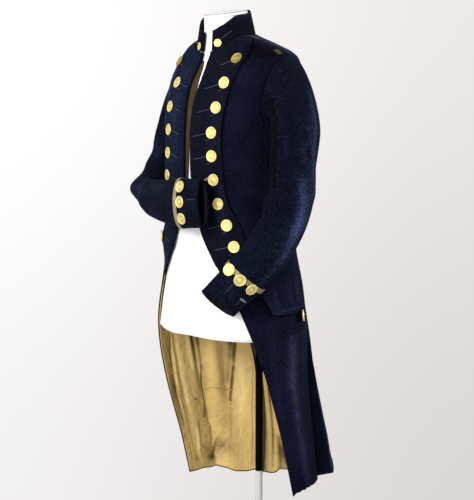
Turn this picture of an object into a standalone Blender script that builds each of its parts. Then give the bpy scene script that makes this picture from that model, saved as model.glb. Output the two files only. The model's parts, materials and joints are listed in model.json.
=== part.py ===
"""A navy frock coat of the later eighteenth century, worn hollow on a limbless dress form.

Metres, +Z up. The wearer faces -Y and the wearer's left is +X. The origin is the middle of the
underside of the stand's base. Every panel is read from one surface, body_point(), which gives the
outer face of the cloth for a side, an angle round the body and a climb up the garment.
"""
import bpy
import bmesh
from math import copysign, cos, degrees, exp, pi, radians, sin, sqrt
from mathutils import Matrix, Vector
from mathutils.bvhtree import BVHTree

# Cloth and seams
WALL = 0.0022           # felted wool, one layer
LINING_WALL = 0.0012
COLLAR_WALL = 0.0030    # two layers and a stiffener
COLLAR_RISE = 0.0012    # from the neck edge to the collar's foot
SEAM = 0.0003
SEAM_OUTSIDE = 0.0009   # between two panels' outer edges; their walls close to SEAM inside
LAID_ON = 0.0007        # from the face of a panel to what lies on it
LAPEL_LAID_ON = 0.0012
LINING_LAID_ON = 0.0010
SEATED = 0.0003         # from a seated button, flap or loop to the cloth that carries it
HEM = 0.42              # height of the hem above the floor
NECK = 1.50             # climb at the neck seam

# Armhole, as an ellipse in angle and climb
ARM_ANGLE = 95.0
ARM_HALF_ANGLE = 30.0
ARM_LOW = 1.205
ARM_HIGH = 1.402

# Lapel, flap, cuff
LAPEL_FOOT = 0.950
LAPEL_SLANT = 0.056     # rise of the lapel's lower end from its front edge to its outer edge
LAPEL_FADE = 0.10       # the climb over which its rows level out again
LAPEL_TOP = NECK - 0.003
CUFF_LENGTH = 0.074
BRAID_WIDTH = 0.010
BRAID_WALL = 0.0010
LOOP_WALL = 0.0014
LOOP_EASE = 0.0006      # keeps a loop's flat cells clear of the lapel's edge

# Buttons
BUTTON_RADIUS = 0.0125
SMALL_BUTTON_RADIUS = 0.0085
BUTTON_HEIGHT = 0.0030
BUTTON_SIDES = 12

# Form and stand
FORM_CLEAR = 0.0075     # from the coat's outer face to the form
SHOULDER_CLEAR = 0.0038  # over the shoulders, where the coat rests
FORM_RIM = 0.793
FORM_TOP = 1.489
NECK_SIZES = {"half_width": 0.050, "front": 0.048, "back": 0.040}
NECK_CENTRE = -0.020
NECK_RINGS = ((1.425, 1.06), (1.455, 1.0), (FORM_TOP - 0.004, 1.0), (FORM_TOP, 0.95))
TOP_TILT = 0.16         # how much the neck's top rings slope down to the front
LOW_TILT = 0.10
FORM_SIDES = 28
FORM_CLIMBS = (0.80, 0.86, 0.92, 0.98, 1.05, 1.12, 1.19, 1.26, 1.32, 1.37, 1.40, 1.43, 1.465)
RIM_SHARE = 0.965       # the form's rim is drawn in to this share of its first ring
SHOULDER_START = 1.40   # climb where the form's clearance starts to ease over the shoulders
SHOULDER_RUN = 0.04
POLE_RADIUS = 0.0085
POLE_PLACE = (0.0, 0.075)
BASE_RADIUS = 0.175
BASE_HEIGHT = 0.014
BASE_PLACE = (0.0, 0.0)

# One row for each section of the body, from the hem up. front and back are depths from centre_y.
SECTION_COLUMNS = ("climb", "half_width", "front", "back", "centre_y", "back_power",
                   "z_front", "z_side", "z_back")
TORSO_SECTIONS = (
    (0.98, 0.166, 0.127, 0.098, 0.000, 0.89, 0.980, 0.980, 0.980),
    (1.05, 0.162, 0.130, 0.098, 0.000, 0.89, 1.050, 1.050, 1.050),
    (1.15, 0.164, 0.133, 0.110, 0.000, 0.89, 1.150, 1.150, 1.150),
    (1.22, 0.166, 0.132, 0.117, 0.000, 0.89, 1.215, 1.220, 1.225),
    (1.29, 0.170, 0.126, 0.118, 0.000, 0.89, 1.275, 1.290, 1.295),
)
LEFT_SHOULDER_SECTIONS = (
    (1.35, 0.173, 0.114, 0.112, 0.000, 0.89, 1.325, 1.352, 1.350),
    (1.40, 0.169, 0.098, 0.096, -0.002, 0.89, 1.360, 1.392, 1.390),
    (1.45, 0.125, 0.078, 0.072, -0.010, 0.89, 1.382, 1.416, 1.420),
    (NECK, 0.066, 0.060, 0.055, -0.020, 0.89, 1.400, 1.434, 1.445),
)
RIGHT_SHOULDER_SECTIONS = (
    (1.35, 0.165, 0.114, 0.112, 0.002, 0.89, 1.325, 1.350, 1.350),
    (1.40, 0.149, 0.098, 0.096, 0.002, 0.89, 1.360, 1.388, 1.390),
    (1.45, 0.110, 0.078, 0.072, -0.008, 0.89, 1.382, 1.414, 1.420),
    (NECK, 0.066, 0.060, 0.055, -0.020, 0.89, 1.400, 1.434, 1.445),
)
LEFT_SKIRT_SECTIONS = (
    (HEM, 0.150, 0.036, 0.165, 0.080, 1.40, 0.380, 0.430, 0.480),
    (0.51, 0.158, 0.078, 0.160, 0.060, 1.30, 0.510, 0.510, 0.500),
    (0.67, 0.168, 0.122, 0.150, 0.020, 1.08, 0.670, 0.670, 0.665),
    (0.80, 0.186, 0.140, 0.132, 0.000, 0.93, 0.800, 0.800, 0.800),
    (0.90, 0.176, 0.132, 0.118, 0.000, 0.89, 0.900, 0.900, 0.900),
)
RIGHT_SKIRT_SECTIONS = (
    (HEM, 0.160, 0.214, 0.165, 0.075, 1.50, 0.420, 0.420, 0.404),
    (0.51, 0.165, 0.224, 0.160, 0.060, 1.35, 0.510, 0.510, 0.500),
    (0.67, 0.175, 0.192, 0.150, 0.020, 1.08, 0.670, 0.670, 0.665),
    (0.80, 0.186, 0.155, 0.132, 0.000, 0.93, 0.800, 0.800, 0.800),
    (0.90, 0.176, 0.140, 0.118, 0.000, 0.89, 0.900, 0.900, 0.900),
)
FRONT_POWER = 0.89

# Angles from the centre of the front, in degrees, for each climb.
EDGE_COLUMNS = ("climb", "left_edge", "right_edge", "left_lapel", "right_lapel",
                "left_seam", "right_seam")
EDGES = (
    (0.42, 60.5, 68.4, 78.0, 84.0, 127.0, 133.0),
    (0.49, 66.0, 68.7, 82.0, 84.0, 127.0, 137.5),
    (0.54, 68.4, 68.0, 82.0, 82.0, 127.5, 141.0),
    (0.62, 69.7, 65.0, 82.0, 80.0, 128.0, 146.5),
    (0.70, 66.9, 60.5, 80.0, 76.0, 128.0, 150.0),
    (0.75, 61.8, 56.5, 76.0, 72.0, 128.0, 149.0),
    (0.82, 53.3, 49.5, 70.0, 66.0, 127.0, 140.0),
    (0.90, 38.5, 39.5, 58.0, 58.0, 125.0, 128.0),
    (0.95, 26.4, 26.9, 53.0, 52.0, 122.0, 122.0),
    (1.006, 15.2, 15.2, 48.2, 44.5, 118.0, 118.0),
    (1.06, 9.2, 6.6, 41.2, 37.8, 113.0, 113.0),
    (1.10, 6.0, 2.6, 37.2, 34.0, 109.0, 109.0),
    (1.15, 3.2, 1.2, 34.9, 31.4, 103.0, 103.0),
    (1.205, 2.8, 1.2, 33.2, 29.4, 97.5, 97.5),
    (1.25, 2.2, 1.4, 32.4, 28.7, 95.0, 95.0),
    (1.30, 1.9, 1.4, 33.7, 28.2, 95.0, 95.0),
    (1.36, 4.0, 1.2, 37.2, 26.5, 95.0, 95.0),
    (1.40, 4.5, 1.0, 43.0, 36.0, 95.0, 95.0),
    (1.45, 6.5, 1.4, 64.6, 58.0, 95.0, 95.0),
    (NECK, 14.2, 3.8, 91.0, 88.0, 95.0, 95.0),
)
ROW_CLIMBS = (0.42, 0.47, 0.53, 0.60, 0.67, 0.74, 0.80, 0.86, 0.91, 0.95, 0.985, 1.02, 1.06, 1.11,
              1.16, 1.205, 1.218, 1.245, 1.285, 1.325, 1.362, 1.389, 1.402, 1.425, 1.460, NECK)
LINING_CLIMBS = ROW_CLIMBS[:9]
LINING_HEM = 0.006      # the lining stops this far above the hem
LAPEL_CELLS = 5
FRONT_CELLS = 7
BACK_CELLS = 6

# Pleat at the side of each skirt: how deep its two returns go in, and how far the back panel
# stands out behind it, for each climb.
PLEAT_COLUMNS = ("climb", "depth", "left_spread", "right_spread")
PLEATS = (
    (0.42, 0.030, 0.033, 0.006),
    (0.53, 0.028, 0.028, 0.005),
    (0.67, 0.018, 0.016, 0.003),
    (0.78, 0.002, 0.006, 0.001),
    (0.86, 0.000, 0.000, 0.000),
    (0.94, 0.000, 0.000, 0.000),
    (1.60, 0.000, 0.000, 0.000),
)
PLEAT_ANGLE = 1.6       # half of the pleat's mouth, in degrees
VENT_ANGLE = 179.0      # the back panels end here, one on each side of the vent
VENT_CLOSED = 0.9       # and this much further round where their centre seam is closed
VENT_TOP = 0.88
VENT_RUN = 0.06

# Sleeves, from the shoulder to the cuff's end. side_half is the half size away from the body at
# the shoulder, front_half the half size across it. turn is where that outer side faces in plan,
# in degrees from the wearer's side round to the front.
SLEEVE_COLUMNS = ("x", "y", "z", "side_half", "front_half", "turn")
LEFT_SLEEVE = (
    (0.190, 0.000, 1.352, 0.048, 0.064, 0.0),
    (0.211, -0.010, 1.270, 0.042, 0.060, 0.0),
    (0.216, -0.022, 1.170, 0.040, 0.056, 0.0),
    (0.217, -0.036, 1.085, 0.041, 0.055, 0.0),
    (0.209, -0.066, 1.018, 0.040, 0.053, 0.0),
    (0.184, -0.108, 0.955, 0.034, 0.050, 0.0),
    (0.140, -0.150, 0.892, 0.018, 0.049, 0.0),
)
RIGHT_SLEEVE = (
    (-0.180, 0.004, 1.350, 0.040, 0.058, 0.0),
    (-0.207, 0.008, 1.270, 0.033, 0.054, 0.0),
    (-0.208, -0.014, 1.180, 0.033, 0.051, 5.0),
    (-0.205, -0.056, 1.128, 0.033, 0.042, 20.0),
    (-0.176, -0.113, 1.102, 0.031, 0.027, 42.0),
    (-0.138, -0.137, 1.095, 0.023, 0.034, 56.0),
    (-0.095, -0.154, 1.087, 0.019, 0.041, 68.0),
    (0.008, -0.166, 1.084, 0.017, 0.049, 84.0),
    (0.098, -0.165, 1.090, 0.013, 0.048, 92.0),
)
SLEEVE_RINGS = 14       # down to the cuff's upper edge
CUFF_RINGS = 2          # below the braid
SLEEVE_SIDES = 16
HEAD_INSET = 0.0048     # the sleeve's head starts this far inside the armhole, in climb
HEAD_INSET_ANGLE = 1.9  # and this far in angle
HEAD_SHARE = 0.24       # share of the sleeve that eases from the armhole into the tube

# Folds of the sleeves: share of the length, angle round the tube, depth, and how far each spreads
# in share and in angle.
SLEEVE_FOLDS = {
    1: (
        (0.47, 90.0, -0.0075, 0.030, 70.0),
        (0.54, 95.0, 0.0035, 0.030, 60.0),
        (0.61, 100.0, -0.0045, 0.030, 55.0),
        (0.38, 80.0, -0.0035, 0.030, 50.0),
        (0.30, 20.0, -0.0030, 0.035, 60.0),
    ),
    -1: (
        (0.52, -5.0, 0.0060, 0.024, 30.0),
        (0.46, 95.0, -0.0060, 0.035, 60.0),
        (0.60, 60.0, -0.0040, 0.030, 50.0),
        (0.66, -10.0, 0.0030, 0.030, 50.0),
        (0.34, 30.0, -0.0030, 0.035, 60.0),
    ),
}

# Pocket flap on the front: its four corners as angle and climb, front top first, going round.
FLAP_CORNERS = {"front_top": (57.0, 0.936), "front_low": (75.0, 0.852),
                "rear_low": (109.0, 0.870), "rear_top": (107.0, 0.930)}
FLAP_CELLS = (10, 5)
FLAP_EASE = 0.0003      # keeps the flap's flat cells clear of the panel between its points
FLAP_DIP = 0.006        # how far the flap's lower edge bows down
FLAP_BUTTON = (104.5, 0.842)

# Standing folds of the body's cloth, upright or slanting: angle and climb of a fold's lower and
# upper end, how far it stands out, and its spread in degrees. It fades over FOLD_FADE at each end.
BODY_FOLDS = {
    1: (
        (88.0, 0.40, 92.0, 0.66, 0.0045, 9.0),
        (112.0, 0.40, 108.0, 0.62, -0.0040, 8.0),
        (158.0, 0.40, 160.0, 0.70, -0.0050, 9.0),
    ),
    -1: (
        (46.0, 0.978, 43.0, 0.992, 0.0095, 14.0),
        (92.0, 0.40, 96.0, 0.74, 0.0075, 8.0),
        (112.0, 0.40, 110.0, 0.70, -0.0065, 8.0),
        (160.0, 0.40, 158.0, 0.72, 0.0060, 8.0),
    ),
}
FOLD_FADE = 0.030

# Lapel buttons from the top: climb on each side, degrees in from the lapel's outer edge.
LAPEL_BUTTON_COLUMNS = ("left", "right", "left_inset", "right_inset")
LAPEL_BUTTONS = (
    (1.420, 1.418, 11.0, 4.0), (1.354, 1.360, 7.2, 7.2), (1.297, 1.299, 7.4, 7.4),
    (1.239, 1.243, 8.3, 8.3), (1.186, 1.188, 8.6, 8.6), (1.135, 1.137, 8.8, 8.8),
    (1.085, 1.087, 8.6, 8.6), (1.041, 1.043, 8.6, 8.0), (0.996, 1.000, 9.2, 11.0),
)
CUFF_BUTTON_ANGLES = {1: (66.0, 27.0, -10.0), -1: (44.0, 5.0, -37.0)}
CUFF_BUTTON_INSET = {1: 0.0135, -1: 0.0225}     # from the cuff's upper edge
COLLAR_BUTTON_ANGLES = {1: 29.0, -1: 16.0}
COLLAR_BUTTON_RISE = Vector((0, 0, 0.0112))
COLLAR_BUTTON_TILT = Vector((0, 0, 0.12))

# Collar: where its two ends stand, its height in front and behind, and how far it leans in
COLLAR_ENDS = {1: 14.6, -1: 4.4}
COLLAR_CELLS = 11
COLLAR_HEIGHT = 0.042
COLLAR_REAR_RISE = 0.006
COLLAR_LEAN = 0.10
COLLAR_REAR_LEAN = 0.05
COLLAR_PUSH = 0.002     # its top is this far behind its foot

# Loops on the shoulders: angle and climbs, and half of a loop's size in both
LOOP_ANGLE = 84.0
LOOP_CLIMBS = (1.475, 1.412)
LOOP_HALF_ANGLE = 3.0
LOOP_HALF_CLIMB = 0.009
SIDE_NAMES = {1: "left", -1: "right"}


def columns(names, rows):
    return {name: [row[i] for row in rows] for i, name in enumerate(names)}


def read(xs, ys, x):
    """Smooth curve through the rows of a table, read at x."""
    x = min(max(x, xs[0]), xs[-1])
    k = 0
    while k < len(xs) - 2 and x > xs[k + 1]:
        k += 1

    def slope(i):
        low, high = max(i - 1, 0), min(i + 1, len(xs) - 1)
        return (ys[high] - ys[low]) / (xs[high] - xs[low])

    step = xs[k + 1] - xs[k]
    t = (x - xs[k]) / step
    rise = ys[k] * (2 * t ** 3 - 3 * t * t + 1) + ys[k + 1] * (3 * t * t - 2 * t ** 3)
    return rise + step * (slope(k) * (t ** 3 - 2 * t * t + t) + slope(k + 1) * (t ** 3 - t * t))


SECTIONS = {
    1: columns(SECTION_COLUMNS, LEFT_SKIRT_SECTIONS + TORSO_SECTIONS + LEFT_SHOULDER_SECTIONS),
    -1: columns(SECTION_COLUMNS, RIGHT_SKIRT_SECTIONS + TORSO_SECTIONS + RIGHT_SHOULDER_SECTIONS),
}
EDGE_TABLE = columns(EDGE_COLUMNS, EDGES)


def running_lengths(stations):
    lengths = [0.0]
    for a, b in zip(stations, stations[1:]):
        lengths.append(lengths[-1] + (Vector(a[:3]) - Vector(b[:3])).length)
    return lengths


SLEEVES = {1: (columns(SLEEVE_COLUMNS, LEFT_SLEEVE), running_lengths(LEFT_SLEEVE)),
           -1: (columns(SLEEVE_COLUMNS, RIGHT_SLEEVE), running_lengths(RIGHT_SLEEVE))}
PLEAT_TABLE = columns(PLEAT_COLUMNS, PLEATS)


def edge(name, climb):
    return read(EDGE_TABLE["climb"], EDGE_TABLE[name], climb)


def pleat(name, climb):
    return read(PLEAT_TABLE["climb"], PLEAT_TABLE[name], climb)


def surface(side, angle, climb):
    table = SECTIONS[side]
    row = {name: read(table["climb"], table[name], climb) for name in SECTION_COLUMNS[1:]}
    s, c = abs(sin(radians(angle))), cos(radians(angle))
    if c > 0:
        y = row["centre_y"] - row["front"] * c ** FRONT_POWER
        z_end = row["z_front"]
        x = row["half_width"] * s ** FRONT_POWER
    else:
        y = row["centre_y"] + row["back"] * abs(c) ** row["back_power"]
        z_end = row["z_back"]
        x = row["half_width"] * s ** row["back_power"]
    z = row["z_side"] + (z_end - row["z_side"]) * c * c
    return Vector((side * copysign(x, sin(radians(angle))), y, z))


def outward(side, angle, climb):
    around = surface(side, angle + 1.0, climb) - surface(side, angle - 1.0, climb)
    low, high = max(climb - 0.004, HEM), min(climb + 0.004, NECK)
    up = surface(side, angle, high) - surface(side, angle, low)
    return (around.cross(up) * side).normalized()


def body_fold(side, angle, climb):
    """How far the cloth stands out from its plain surface."""
    total = 0.0
    for low_angle, low, high_angle, high, depth, spread in BODY_FOLDS[side]:
        share = min(max((climb - low) / (high - low), 0.0), 1.0)
        beyond = max(low - climb, climb - high, 0.0)
        turn = angle - (low_angle + (high_angle - low_angle) * share)
        total += depth * exp(-(turn / spread) ** 2 - (beyond / FOLD_FADE) ** 2)
    return total


def plain_point(side, angle, climb, out):
    return surface(side, angle, climb) + outward(side, angle, climb) * out


def body_point(side, angle, climb, out=0.0):
    return plain_point(side, angle, climb, out + body_fold(side, angle, climb))


def material(name, colour, roughness, metallic=0.0):
    made = bpy.data.materials.new(name)
    made.use_nodes = True
    shader = made.node_tree.nodes["Principled BSDF"]
    shader.inputs["Base Color"].default_value = (*colour, 1.0)
    shader.inputs["Roughness"].default_value = roughness
    shader.inputs["Metallic"].default_value = metallic
    return made


def add_object(name, mesh, finish):
    made = bpy.data.objects.new(name, mesh)
    COLLECTION.objects.link(made)
    if not mesh.materials:
        mesh.materials.append(finish)
    return made


def grid_mesh(name, rows, round_about=False, flip=False):
    """An open sheet through rows of points; with round_about each row closes on itself."""
    mesh = bpy.data.meshes.new(name)
    work = bmesh.new()
    made = [[work.verts.new(p) for p in row] for row in rows]
    count = len(rows[0])
    for lower, upper in zip(made, made[1:]):
        for i in range(count if round_about else count - 1):
            j = (i + 1) % count
            for face in ((lower[i], lower[j], upper[j]), (lower[i], upper[j], upper[i])):
                work.faces.new(face[::-1] if flip else face)
    work.to_mesh(mesh)
    work.free()
    mesh.shade_smooth()
    return mesh


def cloth(name, rows, thickness, finish, round_about=False, flip=False):
    """A wall of cloth whose outer face is the sheet through rows."""
    made = add_object(name, grid_mesh(name, rows, round_about, flip), finish)
    solid = made.modifiers.new("wall", "SOLIDIFY")
    solid.thickness = thickness
    solid.offset = -1.0
    return made


def sheets(*names):
    """The outer faces of cloth already made, to seat other pieces on."""
    made = []
    for name in names:
        mesh = bpy.data.objects[name].data
        made.append(BVHTree.FromPolygons([v.co for v in mesh.vertices],
                                         [tuple(f.vertices) for f in mesh.polygons]))
    return made


def height_over(carriers, point, axis):
    """How far the highest carrier lies beyond a point, along an axis; None where there is none."""
    reach = 0.03
    hits = [tree.ray_cast(point + axis * reach, -axis, 2 * reach)[3] for tree in carriers]
    found = [reach - far for far in hits if far is not None]
    return max(found) if found else None


def seat(carriers, point, axis, radius):
    """The point moved along the axis until a flat disc just clears what carries it."""
    across = axis.orthogonal().normalized()
    other = axis.cross(across)
    heights = []
    for share in (0.0, 0.25, 0.5, 0.75, 1.0):
        for i in range(24):
            turn = radians(15.0 * i)
            sample = point + (across * cos(turn) + other * sin(turn)) * radius * share
            heights.append(height_over(carriers, sample, axis))
    return point + axis * (max(h for h in heights if h is not None) + SEATED)


def laid_rows(carriers, places, side, thickness, level=False):
    """The outer face of a piece laid on its carriers; a level one stays as high as its top point."""
    rays = [[(body_point(side, *place), outward(side, *place)) for place in row] for row in places]
    heights = [[height_over(carriers, *ray) or 0.0 for ray in row] for row in rays]
    if level:
        heights = [[max(max(row) for row in heights)] * len(row) for row in heights]
    return [[point + axis * (height + SEATED + thickness)
             for (point, axis), height in zip(*pair)] for pair in zip(rays, heights)]


def share_list(start, end, cells):
    return [start + (end - start) * i / cells for i in range(cells + 1)]


def arm_half_angle(climb):
    middle, half = (ARM_LOW + ARM_HIGH) / 2, (ARM_HIGH - ARM_LOW) / 2
    return ARM_HALF_ANGLE * sqrt(max(0.0, 1 - ((climb - middle) / half) ** 2))


def lapel_slant(climb):
    return LAPEL_SLANT * exp(-((climb - LAPEL_FOOT) / LAPEL_FADE) ** 2)


def front_row(side, climb):
    """Angles and climbs along one row of a front, and which of them are the pleat's return."""
    name = SIDE_NAMES[side]
    start, fold = edge(name + "_edge", climb), edge(name + "_lapel", climb)
    end = edge(name + "_seam", climb) - arm_half_angle(climb)
    slant = lapel_slant(climb)
    row = [(angle, climb + slant * i / LAPEL_CELLS, 0.0)
           for i, angle in enumerate(share_list(start, fold, LAPEL_CELLS))]
    for i, angle in enumerate(share_list(fold, end - PLEAT_ANGLE, FRONT_CELLS)[1:], 1):
        row.append((angle, climb + slant * (1 - i / FRONT_CELLS), 0.0))
    row.append((end - seam_angle(side, climb), climb, -pleat("depth", climb)))
    return row


def seam_angle(side, climb):
    """Half of a seam's gap, as an angle."""
    reach = surface(side, ARM_ANGLE, climb).xy.length
    return degrees(SEAM_OUTSIDE / 2 / reach)


def front(side):
    rows = [[body_point(side, *place) for place in front_row(side, climb)] for climb in ROW_CLIMBS]
    name = SIDE_NAMES[side]
    return cloth("front_" + name, rows, WALL, WOOL, flip=side < 0)


def back_row(side, climb):
    name = SIDE_NAMES[side]
    start = edge(name + "_seam", climb) + arm_half_angle(climb)
    spread = pleat(name + "_spread", climb)
    row = [(start + seam_angle(side, climb), climb, -pleat("depth", climb))]
    end = VENT_ANGLE + VENT_CLOSED * vent_share(climb)
    angles = share_list(start + PLEAT_ANGLE, end, BACK_CELLS)
    row += [(angle, climb, spread) for angle in angles]
    return row


def vent_share(climb):
    """0 at the vent, 1 where the centre seam is closed."""
    return min(max((climb - VENT_TOP) / VENT_RUN, 0.0), 1.0)


def back(side):
    rows = [[body_point(side, *place) for place in back_row(side, climb)] for climb in ROW_CLIMBS]
    return cloth("back_" + SIDE_NAMES[side], rows, WALL, WOOL, flip=side < 0)


def lapel(side):
    """The lapel is the front's own points between its edge and the lapel's edge, moved out."""
    out = LAPEL_LAID_ON + WALL
    rows = []
    for climb in ROW_CLIMBS:
        if LAPEL_FOOT <= climb:
            places = front_row(side, climb)[:LAPEL_CELLS + 1]
            rows.append([body_point(side, angle, min(high, LAPEL_TOP), out)
                         for angle, high, _ in places])
    return cloth("lapel_" + SIDE_NAMES[side], rows, WALL, WOOL, flip=side < 0)


def lining(side, panel, places, share_in, share_out):
    """A lining is its panel's own points moved in, its two upright edges short of the panel's."""
    name = SIDE_NAMES[side]
    rows = []
    for climb in LINING_CLIMBS:
        row = [body_point(side, angle, high, out - WALL - LINING_LAID_ON)
               for angle, high, out in places(side, climb)]
        row[0] = row[0].lerp(row[1], share_in)
        row[-1] = row[-2].lerp(row[-1], share_out)
        rows.append(row)
    share = LINING_HEM / (LINING_CLIMBS[1] - LINING_CLIMBS[0])
    rows[0] = [low.lerp(high, share) for low, high in zip(rows[0], rows[1])]
    return cloth("lining_%s_%s" % (panel, name), rows, LINING_WALL, LINEN, flip=side < 0)


def linings(side):
    lining(side, "front", lambda *at: front_row(*at)[:-1], 0.30, 0.60)
    lining(side, "back", lambda *at: back_row(*at)[1:], 0.30, 0.85)


def collar():
    """A standing collar from the left front, round the back of the neck, to the right front."""
    left = [(1, a) for a in share_list(COLLAR_ENDS[1], 180.0, COLLAR_CELLS)]
    right = [(-1, a) for a in share_list(180.0, COLLAR_ENDS[-1], COLLAR_CELLS)[1:]]
    rows = []
    for share in (0.0, 0.5, 1.0):
        row = []
        for side, angle in left + right:
            foot = body_point(side, angle, NECK)
            rear = (1 - cos(radians(angle))) / 2
            lean = 1 - share * (COLLAR_LEAN + COLLAR_REAR_LEAN * rear)
            y = NECK_CENTRE + (foot.y - NECK_CENTRE) * lean - COLLAR_PUSH * share
            z = foot.z + COLLAR_RISE + share * (COLLAR_HEIGHT + COLLAR_REAR_RISE * rear)
            row.append(Vector((foot.x * lean, y, z)))
        rows.append(row)
    return cloth("collar", rows, COLLAR_WALL, WOOL)


def sleeve_steps(side, shares):
    """Centre, frame and half sizes of the sleeve at shares of its length."""
    table, keys = SLEEVES[side]
    total = keys[-1]

    def centre(s):
        return Vector([read(keys, table[axis], s) for axis in "xyz"])

    steps = []
    for share in shares:
        s = share * total
        along = (centre(min(s + 0.004, total)) - centre(max(s - 0.004, 0.0))).normalized()
        turn = radians(read(keys, table["turn"], s))
        outer = Vector((side * cos(turn), -sin(turn), 0.0))
        outer = (outer - along * outer.dot(along)).normalized()
        fore = along.cross(outer) * side
        steps.append((share, centre(s), outer, fore,
                      read(keys, table["side_half"], s), read(keys, table["front_half"], s)))
    return steps


def cuff_share(side, distance):
    """Share of the sleeve's length at a distance down from the cuff's upper edge."""
    return 1 - (CUFF_LENGTH - distance) / SLEEVES[side][1][-1]


def fold_depth(side, share, angle):
    depth = 0.0
    for at, turn, deep, wide, spread in SLEEVE_FOLDS[side]:
        apart = (angle - turn + 180) % 360 - 180
        depth += deep * exp(-((share - at) / wide) ** 2 - (apart / spread) ** 2)
    return depth


def sleeve_ring(side, step, out=0.0):
    share, centre, outer, fore, side_half, front_half = step
    ring = []
    ease = min(share / HEAD_SHARE, 1.0)
    ease = ease * ease * (3 - 2 * ease)
    for i in range(SLEEVE_SIDES):
        angle = 360.0 * i / SLEEVE_SIDES
        c, s = cos(radians(angle)), sin(radians(angle))
        tube = centre + outer * side_half * c + fore * front_half * s
        facing = (outer * c / side_half + fore * s / front_half).normalized()
        tube += facing * (out + fold_depth(side, share, angle))
        middle, half = (ARM_LOW + ARM_HIGH) / 2, (ARM_HIGH - ARM_LOW) / 2 - HEAD_INSET
        turn = ARM_ANGLE - (ARM_HALF_ANGLE - HEAD_INSET_ANGLE) * s
        ring.append(body_point(side, turn, middle + half * c).lerp(tube, ease))
    return ring


def sleeve(side):
    shares = share_list(0.0, cuff_share(side, 0.0), SLEEVE_RINGS)
    shares += cuff_shares(side, CUFF_LENGTH)[1:]
    rows = [sleeve_ring(side, step) for step in sleeve_steps(side, shares)]
    return cloth("sleeve_" + SIDE_NAMES[side], rows, WALL, WOOL, round_about=True, flip=side < 0)


def cuff_shares(side, length):
    """The braid's two edges, and below them the rest of the cuff."""
    places = [0.0, BRAID_WIDTH] + share_list(BRAID_WIDTH, CUFF_LENGTH, CUFF_RINGS)[1:]
    return [cuff_share(side, place) for place in places if place <= length + SEAM]


def cuff(side):
    steps = sleeve_steps(side, cuff_shares(side, CUFF_LENGTH))
    rows = [sleeve_ring(side, step, LAID_ON + WALL) for step in steps]
    return cloth("cuff_" + SIDE_NAMES[side], rows, WALL, WOOL, round_about=True, flip=side < 0)


def braid(side):
    steps = sleeve_steps(side, cuff_shares(side, BRAID_WIDTH))
    rows = [sleeve_ring(side, step, 2 * LAID_ON + WALL + BRAID_WALL) for step in steps]
    return cloth("braid_" + SIDE_NAMES[side], rows, BRAID_WALL, BRAID, round_about=True,
                 flip=side < 0)


def flap(side):
    along, down = FLAP_CELLS
    places = []
    for j in range(down + 1):
        v = j / down
        row = []
        for i in range(along + 1):
            u = i / along
            ends = []
            for end in ("front", "rear"):
                low, top = FLAP_CORNERS[end + "_low"], FLAP_CORNERS[end + "_top"]
                ends.append([low[k] + (top[k] - low[k]) * v for k in (0, 1)])
            angle, climb = [ends[0][k] + (ends[1][k] - ends[0][k]) * u for k in (0, 1)]
            row.append((angle, climb - FLAP_DIP * sin(pi * u) * (1 - v)))
        places.append(row)
    rows = laid_rows(sheets("front_" + SIDE_NAMES[side]), places, side, WALL + FLAP_EASE)
    return cloth("flap_" + SIDE_NAMES[side], rows, WALL, WOOL, flip=side < 0)


def button_mesh(name, radius):
    """A turned disc with a low crown."""
    height = BUTTON_HEIGHT * radius / BUTTON_RADIUS
    profile = [(0.0, height), (radius * 0.90, height * 0.86), (radius, height * 0.5),
               (radius * 0.90, 0.0), (0.0, 0.0)]
    mesh = bpy.data.meshes.new(name)
    work = bmesh.new()
    points = [work.verts.new((x, 0.0, z)) for x, z in profile]
    edges = [work.edges.new(pair) for pair in zip(points, points[1:])]
    bmesh.ops.spin(work, geom=points + edges, axis=(0, 0, 1), cent=(0, 0, 0), angle=2 * pi,
                   steps=BUTTON_SIDES, use_merge=True)
    bmesh.ops.remove_doubles(work, verts=work.verts, dist=0.00001)
    bmesh.ops.recalc_face_normals(work, faces=work.faces)
    work.to_mesh(mesh)
    work.free()
    mesh.shade_smooth()
    mesh.materials.append(GILT)
    return mesh


def put_button(name, mesh, place, axis):
    made = add_object(name, mesh, GILT)
    turn = Vector((0, 0, 1)).rotation_difference(axis).to_matrix().to_4x4()
    made.matrix_world = Matrix.Translation(place) @ turn
    return made


def body_button(name, mesh, radius, side, angle, climb, carriers):
    axis = outward(side, angle, climb)
    put_button(name, mesh, seat(carriers, body_point(side, angle, climb), axis, radius), axis)


def buttons(side, large, small):
    name = SIDE_NAMES[side]
    on_lapel = sheets("lapel_" + name, "front_" + name)
    for number, row in enumerate(LAPEL_BUTTONS, 1):
        place = dict(zip(LAPEL_BUTTON_COLUMNS, row))
        climb = place[name]
        angle = edge(name + "_lapel", climb - 0.8 * lapel_slant(climb)) - place[name + "_inset"]
        body_button("lapel_button_%s_%d" % (name, number), large, BUTTON_RADIUS, side, angle,
                    climb, on_lapel)
    body_button("flap_button_" + name, large, BUTTON_RADIUS, side, *FLAP_BUTTON,
                sheets("front_" + name, "flap_" + name, "back_" + name))
    step = sleeve_steps(side, [cuff_share(side, CUFF_BUTTON_INSET[side])])[0]
    on_cuff = sheets("braid_" + name, "cuff_" + name)
    for number, angle in enumerate(CUFF_BUTTON_ANGLES[side], 1):
        share, centre, outer, fore, side_half, front_half = step
        c, s = cos(radians(angle)), sin(radians(angle))
        axis = (outer * c * front_half + fore * s * side_half).normalized()
        place = centre + outer * side_half * c + fore * front_half * s
        put_button("cuff_button_%s_%d" % (name, number), large,
                   seat(on_cuff, place, axis, BUTTON_RADIUS), axis)
    foot = body_point(side, COLLAR_BUTTON_ANGLES[side], NECK)
    axis = Vector((foot.x, foot.y - NECK_CENTRE, 0.0)).normalized()
    axis = (axis + COLLAR_BUTTON_TILT).normalized()
    put_button("collar_button_" + name, small,
               seat(sheets("collar"), foot + COLLAR_BUTTON_RISE, axis, SMALL_BUTTON_RADIUS), axis)


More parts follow.
